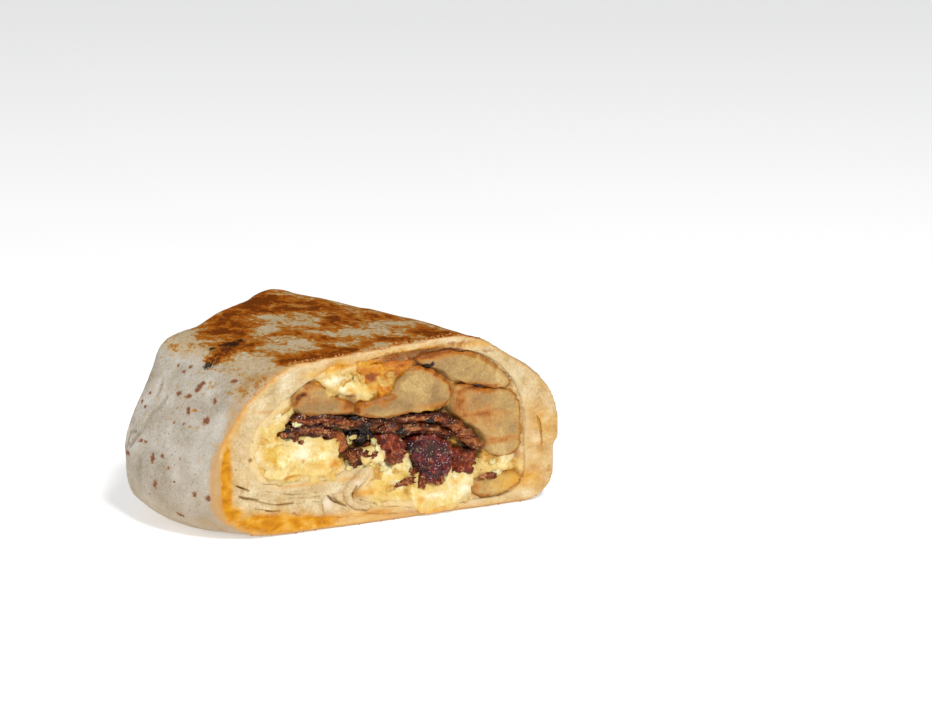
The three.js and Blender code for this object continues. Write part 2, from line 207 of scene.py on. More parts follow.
# Where the outside swells or is dented at the cut: pixel, size, and how far in mm along it, up and out
SWELLS = ((250, 406, 62, 62, -1.3, 1.0, 0), (236, 538, 56, 40, 0.3, 1.3, 0))

# Hollows and humps of the dough: pixel, width and height in pixels, and depth in millimetres
DOUGH_HOLLOWS = (
    (366, 492.5, 22, 8, 1.1), (355, 495.5, 6, 4, 0.7), (328.5, 503, 9, 14, -0.45),
    (341.3, 491.5, 4, 5, 0.5), (243, 459, 5, 8, 0.3), (300, 488, 60, 6, -0.25), (385, 509, 40, 6, -0.3),
    (262, 524, 50, 10, -0.25),
)

# Stains on the cut: pixel, size and how much
OIL_MARKS = (
    (226, 470, 11, 44, 1.4), (227, 500, 11, 30, 1.2), (224.5, 488, 10, 60, 0.6), (236, 513, 15, 12, 1.3),
    (222, 514, 14, 36, 0.8), (240, 530, 34, 11, 0.9), (258, 520, 50, 16, 1.3), (290, 527, 60, 12, 1.5),
    (300, 529, 70, 6, 0.8), (290, 519, 50, 12, 0.8), (320, 520, 50, 10, 0.9), (346, 527, 70, 9, 1.0),
    (228, 446, 6, 24, 0.8), (235, 424, 5, 26, 0.7), (245, 404, 6, 22, 0.6), (290, 477, 17, 4.5, 1.2),
    (318, 383, 5, 5, 0.9), (334, 463, 22, 12, 1.1), (330, 474, 20, 7, 0.5), (366, 492.5, 24, 8, 0.9),
    (430, 510, 110, 7, 0.7), (371, 388, 14, 10, 0.9), (371, 362, 9, 12, 0.8), (300, 462, 24, 7, 0.3),
    (276, 438, 7, 8, 0.8), (268, 456, 16, 5, 0.35), (340, 480, 14, 6, 0.5), (352, 391, 10, 7, 0.8),
    (342, 364, 44, 9, 0.9), (420, 500, 10, 9, 0.7), (376, 486, 12, 10, 0.35), (382, 474, 14, 6, 0.35),
    (455, 481, 8, 5, 0.6), (430, 410, 22, 5, 0.7), (312, 376, 22, 7, 0.7), (375, 512, 60, 8, 0.8),
    (540, 430, 36, 90, 0.6), (520, 480, 60, 26, 0.7), (266, 412, 22, 4, 0.5), (258, 428, 4, 20, 0.3),
    (330, 370, 50, 6, 0.5), (296, 366, 30, 5, 0.35), (440, 513, 60, 4, 0.8), (400, 353, 60, 7, 0.9),
    (440, 347, 50, 7, 0.8), (478, 343, 40, 7, 0.6), (300, 485, 50, 4, 0.7), (352, 478, 20, 5, 0.5),
)
FRY_MARKS = (
    (303.5, 394, 9, 6, 1.3), (298, 397.5, 6, 6, 1.1), (296.5, 404, 5, 8, 0.8), (315, 388, 14, 5, 0.5),
    (351, 402, 15, 17, 1.2), (343, 408, 9, 8, 0.5), (366, 404, 12, 7, 0.6), (358.5, 411, 8, 8, 0.8),
    (384, 404, 9, 7, 0.6), (396, 373, 8, 14, 0.6), (402, 365.5, 16, 4, 0.8), (419, 367, 9, 5, 1.0),
    (427.5, 369.5, 9, 6, 1.1), (436.5, 374.5, 9, 6, 1.1), (445, 380, 8, 6, 1.0), (450, 387, 4, 14, 0.8),
    (371, 376.5, 12, 10, 1.3), (404, 355, 60, 7, 0.75), (388, 361, 24, 7, 0.6), (341, 441, 10, 24, 0.8),
    (446, 350, 40, 6, 0.9), (430, 405, 32, 5, 0.5), (480, 388, 44, 7, 0.9), (460, 402, 12, 26, 0.7),
    (480, 414, 40, 7, 0.5), (500, 440, 40, 7, 0.6), (520, 455, 24, 8, 0.5), (476, 488, 8, 12, 0.7),
    (250.6, 460.3, 3.8, 6, 1.0), (252.5, 441.8, 2.4, 2.4, 1.3), (235.4, 469.8, 3, 3, 1.0),
    (293, 513.2, 6, 3, 0.8), (490, 350, 50, 5, 0.6), (536, 400, 12, 40, 0.4), (545, 470, 16, 40, 0.4),
    (415, 351, 60, 4, 0.6), (455, 343, 50, 6, 0.7), (318, 401, 44, 16, 0.3), (480, 420, 60, 50, 0.35),
    (424, 357, 52, 8, 0.9), (345, 528, 60, 4, 0.8), (400, 521, 70, 4, 0.9), (455, 514, 60, 4, 0.7),
    (300, 531, 50, 3, 0.5),
)
# Burnt black; the mark at (468, 450) on the rashers at the right is a painted shadow
BURN_AND_SHADOW_MARKS = (
    (427.5, 366, 8, 5, 1.3), (433, 364, 5, 3, 0.8), (347, 415, 16, 4, 0.9), (363, 427, 9, 16, 0.8),
    (401, 432, 14, 8, 1.0), (302, 394.5, 7, 4.5, 1.1), (297.5, 399, 3.5, 6, 0.7), (436, 412, 5, 5, 0.7),
    (428, 448, 20, 14, 0.6), (287, 430, 6, 5, 0.6), (386, 422, 40, 8, 0.75), (425, 432, 40, 5, 0.45),
    (468, 450, 18, 12, 0.85), (446, 424, 30, 6, 0.5), (315, 426, 26, 2.6, 1.0), (431, 420, 6, 5, 1.1),
    (335, 417, 12, 2.6, 0.9), (460, 432, 30, 3, 0.7), (478, 387, 30, 3, 0.8), (354.5, 495.8, 5, 3, 0.8),
)

# Whiter patches of dough on the cut; the one on the curled end at (358, 482) is a painted highlight
PALE_DOUGH_AND_HIGHLIGHT_MARKS = (
    (328.5, 503, 10, 16, 1.2), (241, 452, 8, 12, 0.6), (245, 412, 12, 26, 0.5), (358, 482, 14, 7, 0.8),
    (385, 508.5, 30, 5, 0.5), (440, 506, 52, 8, 1.3), (468, 501, 24, 8, 0.8), (262, 476, 10, 6, 0.4),
    (300, 367, 34, 6, 0.5), (238, 490, 8, 8, 0.5), (318, 360, 34, 5, 1.1), (352, 353.5, 44, 5, 1.2),
    (392, 346, 50, 5, 1.2), (430, 339.5, 50, 5, 1.2), (468, 334, 40, 5, 0.8),
)

# Painted shade and painted light on the potatoes: marks below 0 darken them where shade falls, marks above 0
# lighten them
POTATO_LIGHT_AND_SHADE = (
    (318, 405, 50, 20, -1.3), (374, 406, 44, 12, -1.2), (437, 400, 22, 26, -1.0), (412, 406, 50, 8, -0.6),
    (404, 386, 24, 18, 0.6), (330, 396, 14, 8, 0.5),
)

# The whitest curds
PALE_CURDS = (
    (304, 456, 30, 22, 0.75), (276, 417, 20, 14, 0.7), (266, 470, 14, 12, 0.6), (334, 380, 24, 10, 0.9),
    (400, 455, 16, 12, 0.6), (436, 494, 34, 8, 0.7), (465, 488, 18, 14, 0.8), (290, 440, 10, 8, 0.5),
    (396, 482, 14, 8, 0.5), (256, 456, 14, 26, 0.55), (270, 444, 14, 12, 0.4),
)

# Where the rounded edge of the cut still has its skin
LAPPED_MARKS = (
    (212, 455, 13, 60, 1.5), (212, 482, 13, 50, 1.5), (216, 504, 11, 30, 1.4), (222, 520, 9, 16, 1.1),
    (219, 436, 8, 30, 1.0),
)

# Skin that the oil has turned tan, beside the cut
WARM_MARKS = (
    (262, 378, 36, 14, 1.0), (246, 396, 18, 24, 0.9), (232, 425, 14, 30, 0.7), (225, 462, 10, 44, 0.9),
    (224, 506, 16, 40, 0.9), (205, 524, 30, 12, 0.5), (284, 368, 24, 8, 0.6), (236, 410, 8, 30, 0.6),
    (185, 352, 34, 10, 0.3),
)

# Skin with fine brown freckles
FRECKLED_MARKS = (
    (262, 376, 44, 18, 0.65), (248, 392, 24, 26, 0.5), (236, 366, 40, 16, 0.35), (285, 362, 30, 12, 0.5),
    (206, 380, 60, 30, 0.2), (240, 412, 12, 30, 0.4), (170, 380, 50, 40, 0.15),
)

# Where a heap of egg sags over the dough: pixel, size, and how far in mm along the cut, up and out
SAGS = {"egg_right": ((436, 502, 70, 22, 0, -1.7, 0.8), (478, 496, 36, 22, 0, -1.3, 0.6))}

# Loose bits lying on the cut: pixel across and down, and width and height in pixels
EGG_BITS = (
    (296.7, 424.5, 6.5, 5), (348, 462, 5, 3.5), (359.7, 466, 5, 4), (349.5, 468.5, 4, 4),
    (372.5, 465.3, 5, 4), (286, 484, 8, 3.5), (378, 449, 5, 9), (492, 462, 5, 8), (497, 472, 8, 4),
    (384, 469, 7, 5), (348, 441, 8, 8), (352.5, 437, 7, 4), (374, 442, 5, 7),
)
BACON_BITS = (
    (350.5, 455.5, 8, 7), (354.5, 466, 4.5, 5.5), (374, 455.5, 12, 5), (392.5, 458.5, 5, 7),
    (404, 482.5, 14, 7), (423.5, 481, 8, 13), (440, 480, 9, 7), (489, 475.5, 15, 5), (385, 428, 9, 4),
    (366, 446, 7, 6), (398, 461, 8, 5), (412, 472, 8, 6), (452, 470, 5, 6), (300, 443, 5, 4),
    (296, 438, 6, 5),
)
BURNT_BITS = (
    (428, 366, 6, 4), (432.5, 363.5, 3, 3), (431, 420.3, 5, 4.5), (346, 415.5, 10, 4), (356, 419, 8, 4),
    (363, 430, 7, 8), (360, 438, 6, 6), (368, 425, 6, 5), (287.5, 431, 3.5, 3.5), (401, 431, 8, 4),
)

BIT_SIZE = 0.6                # radius of a bit before it is torn, as a share of its width
BIT_FLATNESS = 0.5

# Crumbs of toasted flour on the skin beside the cut: how many, their radius, and how far back they lie
CRUMBS = 150
CRUMB_RADIUS = (0.12, 0.38)
CRUMB_SPREAD = 1.1
UPPER_RIM = (25, 38)          # crumbs lie along the rim left of and above this place
LOWER_RIM = 1.5               # and below this height

# For each food: voxel, smoothing, how far its sides swell and how unevenly, how far its cut edge is rounded,
# and the width and depth of its lumps and of its rounded cells
FOODS = {
    "egg": {"voxel": 0.44, "smooth": 6, "swell": 1.1, "uneven": 1.4, "round": 0.5,
            "relief": ((6.0, 1.3), (2.8, 0.6), (1.3, 0.26)), "cells": ((4.2, 0.3),)},
    "cheese": {"voxel": 0.44, "smooth": 5, "swell": 0.8, "uneven": 0.4, "round": 0.8,
               "relief": ((3.2, 1.3), (1.5, 0.5), (0.7, 0.14)), "cells": ()},
    "potato": {"voxel": 0.5, "smooth": 1, "swell": 0.4, "uneven": 0.7, "round": 0.2,
               "relief": ((9.0, 0.5), (3.0, 0.14), (1.1, 0.05)), "cells": ()},
    "bacon": {"voxel": 0.36, "smooth": 1, "swell": 0.4, "uneven": 0.6, "round": 0.5,
              "relief": ((4.5, 0.5), (1.5, 0.6), (0.75, 0.42), (0.45, 0.16)), "cells": ()},
    "burnt": {"voxel": 0.36, "smooth": 1, "swell": 0.6, "uneven": 0.7, "round": 0.5,
              "relief": ((2.4, 0.9), (1.0, 0.5), (0.5, 0.3)), "cells": ((1.0, 0.4),)},
}
# Rashers: their lumps and streaks run along the cut
STREAKED = {"bacon_1": 0.42, "bacon_2": 0.42, "bacon_3": 0.5}
# How far the cut end of a piece stands out of the cut plane
STANDS_OUT = {
    "bacon_1": 0.5, "bacon_2": 0.9, "bacon_3": 0.9, "bacon_4": 0.8, "bacon_5": 1.5, "bacon_6": 0.6,
    "bacon_7": 0.2, "bacon_8": -0.4, "cheese": 0.5, "egg_left": 0.5, "egg_right": 0.4, "egg_upper": 0.6,
    "potato_1": 0.2, "potato_2": 0.4, "potato_3": 0.0, "potato_4": -0.2, "potato_5": 0.0,
}
# Bacon that looks unlike the rest
LOOKS = {"bacon_4": "red", "bacon_5": "glazed", "bacon_7": "red", "bacon_8": "burnt"}
CURDS = {"egg_left": 20, "egg_right": 24, "egg_upper": 7}    # curds that stand out on each heap
CURD_RADIUS = (1.2, 2.6)
CURD_SUNK = 0.75              # how deep a curd's middle lies, as a share of its radius
WORKED_DEPTH = 9.0            # the relief fades out this far behind the cut
LOWEST_PIECE = 2.0            # the filling stays above the dough under it
LOWEST_SAG = 0.4
NO_CELLS = (3.0, 0.5)         # gap and number of a point of a food without cells


def to_section(points):
    """How far each point lies along the cut from its middle, up, and behind the cut, in millimetres."""
    along_cut = (points[:, 1] - MIDDLE_LINE) / math.cos(CUT_ANGLE) / MM
    behind = (CUT_REACH - points @ CUT_NORMAL) / MM
    return np.stack([along_cut, points[:, 2] / MM, behind], axis=1)


def behind_cut(points):
    """How far each point lies behind the cut, in millimetres."""
    return to_section(points)[:, 2]


def rows(items, name):
    """Three numbers of each item, one row each."""
    numbers = np.empty(len(items) * 3)
    items.foreach_get(name, numbers)
    return numbers.reshape(-1, 3)


def places(piece):
    """The points of a piece, in metres."""
    return rows(piece.data.vertices, "co")


def outward(piece):
    """The outward direction at each point of a piece."""
    return rows(piece.data.vertex_normals, "vector")


def move_points(piece, points):
    """Puts the points of a piece at new places."""
    piece.data.vertices.foreach_set("co", points.ravel())
    piece.data.update()


def turn(piece, matrix):
    """Turns the points of a piece about the origin."""
    move_points(piece, places(piece) @ matrix.T)


def lumps(points, size, seed):
    """Soft seeded noise from -1 to 1 whose lumps are size millimetres wide."""
    return np.array([noise.noise(Vector(spot)) for spot in points / (size * MM) + seed * 17.3])


def relief(points, waves, seed):
    """The sum of lumps of several widths and depths, in millimetres."""
    return sum(depth * lumps(points, width, seed + i) for i, (width, depth) in enumerate(waves))


def cells(points, size, seed):
    """Rounded cells: how domed each point is, its gap to the next cell, and its own cell's number."""
    dome, gap, own = [], [], []
    for spot in points / (size * MM) + seed * 17.3:
        distances, middles = noise.voronoi(Vector(spot))
        dome.append(1 - (distances[0] / 0.7) ** 2)
        gap.append((distances[1] - distances[0]) * size)
        own.append(noise.cell(middles[0] * 9.7))
    return np.clip(dome, -0.4, 1), np.array(gap), np.array(own)


def smooth_share(values, low, high):
    """0 below low, 1 above high, and a soft turn between."""
    share = np.clip((values - low) / (high - low), 0, 1)
    return share * share * (3 - 2 * share)


def bell(values, width=1.0):
    """1 at 0, and softly less away from it."""
    return np.exp(-(values / width) ** 2)


def on_some(count, chosen, values, rest=0.0):
    """One number for each point: the values for the chosen points, and rest for the others."""
    whole = np.full(count, rest)
    whole[chosen] = values
    return whole


def store(piece, name, values):
    """Keeps one number or three for each point, which the material reads by their name."""
    kind, key = ("FLOAT", "value") if values.ndim == 1 else ("FLOAT_VECTOR", "vector")
    attribute = piece.data.attributes.new(name, kind, "POINT")
    attribute.data.foreach_set(key, np.ascontiguousarray(values, dtype=np.float32).ravel())


def only(piece):
    """Selects one piece alone."""
    bpy.ops.object.select_all(action="DESELECT")
    piece.select_set(True)
    bpy.context.view_layer.objects.active = piece


def duplicate(piece, name):
    """A copy of a piece under its own name."""
    only(piece)
    bpy.ops.object.duplicate()
    copy = bpy.context.active_object
    copy.name = name
    return copy


def joined(pieces):
    """Joins some pieces into the first of them."""
    only(pieces[0])
    for piece in pieces:
        piece.select_set(True)
    bpy.ops.object.join()
    return pieces[0]


def ball(fineness, radius, place=(0, 0, 0)):
    """A ball of triangles."""
    bpy.ops.mesh.primitive_ico_sphere_add(subdivisions=fineness, radius=radius, location=place)
    return bpy.context.active_object


def faces_within(piece, inside):
    """Which faces have all their points inside."""
    corners = np.empty(len(piece.data.loops), dtype=np.int32)
    piece.data.loops.foreach_get("vertex_index", corners)
    starts = np.empty(len(piece.data.polygons), dtype=np.int32)
    piece.data.polygons.foreach_get("loop_start", starts)
    return np.minimum.reduceat(inside[corners].astype(np.int8), starts).astype(bool)


def edit_faces(piece, chosen):
    """Enters edit mode with only the chosen faces selected."""
    only(piece)
    bpy.ops.object.mode_set(mode="EDIT")
    bpy.ops.mesh.select_mode(type="FACE")
    bpy.ops.mesh.select_all(action="DESELECT")
    bpy.ops.object.mode_set(mode="OBJECT")
    piece.data.polygons.foreach_set("select", chosen)
    bpy.ops.object.mode_set(mode="EDIT")


def modify(piece, kind, **settings):
    """Adds a modifier with its settings and applies it."""
    only(piece)
    modifier = piece.modifiers.new(kind.title(), kind)
    for name, value in settings.items():
        setattr(modifier, name, value)
    bpy.ops.object.modifier_apply(modifier=modifier.name)


def merged_copy(node, name):
    """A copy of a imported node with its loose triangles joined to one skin."""
    piece = duplicate(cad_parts[node], name)
    piece.parent = None
    for key in list(piece.keys()):
        del piece[key]
    piece.data.materials.clear()
    bpy.ops.object.mode_set(mode="EDIT")
    bpy.ops.mesh.select_all(action="SELECT")
    bpy.ops.mesh.remove_doubles(threshold=TOUCH * MM / 10)
    bpy.ops.object.mode_set(mode="OBJECT")
    return piece


def remesh(piece, voxel):
    """Remeshes a piece with the cut square to the grid, so that flat cuts stay flat."""
    turn(piece, SQUARE_TO_CUT)
    modify(piece, "REMESH", mode="VOXEL", voxel_size=voxel * MM)
    turn(piece, SQUARE_TO_CUT.T)


def linear(colour):
    """An sRGB hex colour as linear red, green, blue and alpha."""
    parts = [int(colour[i:i + 2], 16) / 255 for i in (1, 3, 5)]
    return [part / 12.92 if part <= 0.04045 else ((part + 0.055) / 1.055) ** 2.4 for part in parts] + [1]


def add(tree, kind, inputs=None, stops=None, **settings):
    """Adds a shader node; an input is a value, hex colour, node, output, or a stored number's name."""
    node = tree.nodes.new("ShaderNode" + kind)
    for name, value in settings.items():
        setattr(node, name, value)
    for key, value in (inputs or {}).items():
        if isinstance(value, str) and not value.startswith("#"):
            value = add(tree, "Attribute", attribute_name=value).outputs["Fac"]
        if isinstance(value, bpy.types.Node):
            value = value.outputs[0]
        if isinstance(value, bpy.types.NodeSocket):
            tree.links.new(value, node.inputs[key])
        else:
            node.inputs[key].default_value = linear(value) if isinstance(value, str) else value
    for i, (place, colour) in enumerate(stops or ()):
        element = node.color_ramp.elements[i] if i < 2 else node.color_ramp.elements.new(place)
        element.position = place
        element.color = linear(colour)
    return node


# Place of the cut and of the roll's middle line in metres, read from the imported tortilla
tortilla_points = places(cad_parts["tortilla"])
CUT_REACH = (tortilla_points @ CUT_NORMAL).max()
MIDDLE_LINE = tortilla_points[:, 1].min() + NEAR_REACH * MM
middle_at_cut = (CUT_REACH + math.sin(CUT_ANGLE) * MIDDLE_LINE) / math.cos(CUT_ANGLE)
roll_origin = np.array([middle_at_cut, MIDDLE_LINE, 0.0])

# Camera
bpy.ops.object.camera_add(location=CAMERA_PLACE * MM + roll_origin,
                          rotation=(math.radians(90) - CAMERA_DROP, 0, CAMERA_AZIMUTH))
camera = bpy.context.active_object
camera.data.lens = FOCAL_LENGTH * SENSOR_WIDTH / IMAGE_WIDTH
camera.data.sensor_width = SENSOR_WIDTH
camera.data.sensor_fit = "HORIZONTAL"
bpy.context.scene.camera = camera
eye = np.array(camera.location)
view_right, view_up, view_back = np.array(camera.rotation_euler.to_matrix()).T


def pixel_way(across, down):
    """The way from the camera through a pixel of the 932 by 720 picture, one unit deep."""
    return (view_right * (across - IMAGE_WIDTH / 2) / FOCAL_LENGTH
            - view_up * (down - IMAGE_HEIGHT / 2) / FOCAL_LENGTH - view_back)


def on_cut(across, down):
    """The point of the cut plane behind a pixel, and the plane's direction there."""
    way = pixel_way(across, down)
    return eye + way * (CUT_REACH - eye @ CUT_NORMAL) / (way @ CUT_NORMAL), CUT_NORMAL


def seen_from(start, way):
    """The point of the tortilla's outside that a line from start meets, and its outward direction."""
    point, direction, _, _ = skin_tree.ray_cast(Vector(start), Vector(way))
    return (None, None) if point is None else (np.array(point), np.array(direction))


def on_skin(across, down):
    """The point of the tortilla's outside behind a pixel, and its outward direction."""
    return seen_from(eye, pixel_way(across, down))


def on_tucked_end(across, up):
    """The point of the tucked end at a place across the roll and up in mm, and its outward direction."""
    return seen_from((cad_box[0][0] * 2, MIDDLE_LINE + across * MM, up * MM), (1, 0, 0))


def far_blisters(points, normals):
    """1 in the middle of a blister on the hidden skin, and less away from it."""
    draw = np.random.default_rng(6)
    hidden = np.flatnonzero((normals @ view_back < -0.1) & (abs(normals[:, 2]) < 0.6))
    field = np.full(len(points), -1.0)
    for spot in points[draw.choice(hidden, FAR_BLISTERS)]:
        distance = (points - spot) * draw.uniform(0.6, 1.4, 3) / (draw.uniform(*FAR_BLISTER_RADIUS) * MM)
        field = np.maximum(field, 1 - np.linalg.norm(distance, axis=1))
    return field


def mark_distances(points, marks, surface):
    """For each mark, how far each point lies from its middle, as a share of its reach."""
    for mark in marks:
        across, down, width, height = mark[:4]
        middle, direction = surface(across, down)
        if middle is None:
            continue
        first = view_right - direction * (view_right @ direction)
        first /= np.linalg.norm(first)
        second = np.cross(direction, first)
        pixel = (eye - middle) @ view_back / FOCAL_LENGTH
        total = 0
        for side, pixels in ((first, width), (second, height)):
            shown = math.hypot(side @ view_right, side @ view_up)
            total = total + ((points - middle) @ side * shown / (pixel * pixels / 2)) ** 2
        depth = (points - middle) @ direction
        yield mark, np.sqrt(total + (depth / (pixel * max(width, height))) ** 2)


def cone_field(points, marks, surface):
    """1 in the middle of a mark, 0 at its edge and -1 well outside all of them."""
    field = np.full(len(points), -1.0)
    for _, distance in mark_distances(points, marks, surface):
        field = np.maximum(field, 1 - distance)
    return field


def stain_field(points, marks, surface):
    """The sum of soft stains, each with its own strength."""
    field = np.zeros(len(points))
    for mark, distance in mark_distances(points, marks, surface):
        field += mark[4] * bell(distance)
    return field


def pushed(points, marks):
    """Points moved by soft marks on the cut, each so far along the cut, up and out."""
    moved = points.copy()
    for mark, distance in mark_distances(moved, marks, on_cut):
        along, up, out = mark[4:]
        moved += np.outer(bell(distance) * MM, np.array([out, along, up]) @ SQUARE_TO_CUT)
    return moved


def spaced(start, end, step):
    """Points from start to end, about step millimetres apart."""
    steps = max(2, int(np.linalg.norm(end - start) / (step * MM)))
    return [start + (end - start) * i / steps for i in range(steps + 1)]


def nearest(points, spots):
    """The distance from each point to the nearest of the spots, and which spot that is."""
    tree = KDTree(len(spots))
    for i, spot in enumerate(spots):
        tree.insert(spot, i)
    tree.balance()
    finds = [tree.find(point) for point in points]
    return np.array([find[2] for find in finds]), np.array([find[1] for find in finds])


def gaps_to(points, spots):
    """How far each point lies from the nearest of the spots, in millimetres."""
    return nearest(points, spots)[0] / MM


def near_lines(points, lines, surface):
    """How far each point lies from the nearest line of pixels in mm, and 1 if left of it or else -1."""
    spots, lefts = [], []
    for line in lines:
        corners = [surface(*pixel)[0] for pixel in line]
        corners = [corner for corner in corners if corner is not None]
        for start, end in zip(corners, corners[1:]):
            between = spaced(start, end, LINE_STEP)
            spots += between
            lefts += [np.cross(CUT_NORMAL, end - start)] * len(between)
    distance, index = nearest(points, np.array(spots))
    side = np.einsum("ij,ij->i", points - np.array(spots)[index], np.array(lefts)[index])
    return distance / MM, np.where(side > 0, 1, -1)


def across_ribbon(points):
    """How far across the curled ribbon each point lies: 0 on its middle line and 1 at its edges."""
    middles = np.array([on_cut(*corner[:2])[0] for corner in RIBBON])
    halves = [corner[2] for corner in RIBBON]
    places_along = np.linspace(0, len(RIBBON) - 1, 200)
    spots = np.stack([np.interp(places_along, range(len(RIBBON)), middles[:, i]) for i in range(3)], axis=1)
    distance, index = nearest(points, spots)
    return distance / MM / np.interp(places_along, range(len(RIBBON)), halves)[index]


def fold_distance(points):
    """How far each point of the skin lies from the nearest fold, in millimetres."""
    pressed, tucked = near_lines(points, CREASES, on_skin), near_lines(points, TUCK_CREASES, on_tucked_end)
    return np.minimum(pressed[0], tucked[0])


# Tortilla


def rim_of(part):
    """The points of a part that lie on the cut."""
    points = places(part)
    return points[behind_cut(points) < TOUCH]


def open_wrap():
    """The wrap's outside as a closed block, its hollows, the rims of all, and a slab of sauce."""
    shell = merged_copy("tortilla", "wrap_part")
    edit_faces(shell, faces_within(shell, behind_cut(places(shell)) < TOUCH))
    bpy.ops.mesh.delete(type="FACE")
    bpy.ops.mesh.separate(type="LOOSE")
    bpy.ops.object.mode_set(mode="OBJECT")
    shells = bpy.context.selected_objects
    outside, room, *gaps = sorted(shells, key=lambda part: max(part.dimensions), reverse=True)
    outside.name = "tortilla_wrap"
    rim_spots = pushed(ordered_rim(rim_of(outside)), SWELLS)
    room_spots = ordered_rim(rim_of(room))
    close_opening(outside, 0)
    close_opening(room, OPENING_REACH)
    sauce = sauce_slab(room)
    lips = []
    for gap in gaps:
        lips.append(ordered_rim(narrow(gap)))
        close_opening(gap, OPENING_REACH)
    return outside, joined([room, *gaps]), rim_spots, room_spots, np.vstack(lips), sauce


def narrow(gap):
    """Narrows a gap between layers to the part of it that shows open, like a wedge, and gives its rim."""
    points = places(gap)
    at_cut = behind_cut(points) < TOUCH
    middle = points[at_cut].mean(axis=0)
    slit = min(SLITS, key=lambda slit: np.linalg.norm(on_cut(*slit[:2])[0] - middle))
    away = points - middle
    away -= np.outer(away @ CUT_NORMAL, CUT_NORMAL)
    long_way = away[at_cut][np.argmax(np.linalg.norm(away[at_cut], axis=1))]
    reach = np.linalg.norm(long_way)
    long_way = long_way / reach * np.sign(long_way @ view_right)
    along = away @ long_way
    taper = WEDGE[0] + (WEDGE[1] - WEDGE[0]) * np.clip(along / reach / 2 + 0.5, 0, 1)
    across = (away - np.outer(along, long_way)) * taper[:, None]
    shift = on_cut(*slit[:2])[0] - middle + (across + np.outer(along, long_way)) * slit[2] - away
    points += shift - np.outer(shift @ CUT_NORMAL, CUT_NORMAL)
    move_points(gap, points)
    return points[at_cut]


def sauce_slab(room):
    """A slab across the room for the filling, just behind the cut."""
    slab = duplicate(room, "melted_sauce")
    for reach, way in ((SAUCE_FRONT, -1), (SAUCE_BACK, 1)):
        bpy.ops.object.mode_set(mode="EDIT")
        bpy.ops.mesh.select_all(action="SELECT")
        plane = CUT_NORMAL * (CUT_REACH - reach * MM)
        bpy.ops.mesh.bisect(plane_co=tuple(plane), plane_no=tuple(CUT_NORMAL * way), use_fill=True,
                            clear_inner=True)
        bpy.ops.object.mode_set(mode="OBJECT")
    return slab


def close_opening(part, reach):
    """Draws the open end of a shell straight out by reach and closes it."""
    only(part)
    bpy.ops.object.mode_set(mode="EDIT")
    bpy.ops.mesh.select_mode(type="EDGE")
    bpy.ops.mesh.select_all(action="DESELECT")
    bpy.ops.mesh.select_non_manifold(use_wire=False, use_boundary=True, use_multi_face=False,
                                     use_non_contiguous=False, use_verts=False)
    if reach:
        bpy.ops.mesh.extrude_region_move(TRANSFORM_OT_translate={"value": tuple(CUT_NORMAL * reach * MM)})
    bpy.ops.mesh.edge_face_add()
    bpy.ops.mesh.select_all(action="SELECT")
    bpy.ops.mesh.normals_make_consistent(inside=False)
    bpy.ops.object.mode_set(mode="OBJECT")


def ordered_rim(rim):
    """The rim of the cut as closely spaced points in order round its middle."""
    flat = to_section(rim)
    angle = np.arctan2(flat[:, 1] - flat[:, 1].mean(), flat[:, 0] - flat[:, 0].mean())
    ring = rim[np.argsort(angle)]
    spots = []
    for start, end in zip(ring, np.roll(ring, -1, axis=0)):
        spots += spaced(start, end, RIM_STEP)[:-1]
    return np.array(spots)


def wrap_skin(outside):
    """Remeshes the block finely, rounds off its facets and divides the cut more finely still."""
    turn(outside, SQUARE_TO_CUT)
    modify(outside, "REMESH", mode="VOXEL", voxel_size=WRAP_VOXEL * MM)
    behind = (CUT_REACH - places(outside)[:, 0]) / MM
    for name, chosen, iterations, off_plane in (
            ("skin", behind > RIM_MARGIN, WRAP_SMOOTHING, True),
            ("rim", behind <= RIM_MARGIN * 1.5, RIM_SMOOTHING, False)):
        outside.vertex_groups.new(name=name).add([int(i) for i in np.flatnonzero(chosen)], 1.0, "REPLACE")
        modify(outside, "SMOOTH", factor=0.5, iterations=iterations, vertex_group=name, use_x=off_plane)
    outside.vertex_groups.clear()
    turn(outside, SQUARE_TO_CUT.T)
    points = pushed(places(outside), SWELLS)
    behind = behind_cut(points)
    near_cut = behind < FLATTEN_REACH
    points[near_cut] += np.outer(behind[near_cut] * MM, CUT_NORMAL)
    move_points(outside, points)
    edit_faces(outside, faces_within(outside, near_cut))
    bpy.ops.mesh.subdivide(number_cuts=FACE_CUTS)
    bpy.ops.object.mode_set(mode="OBJECT")


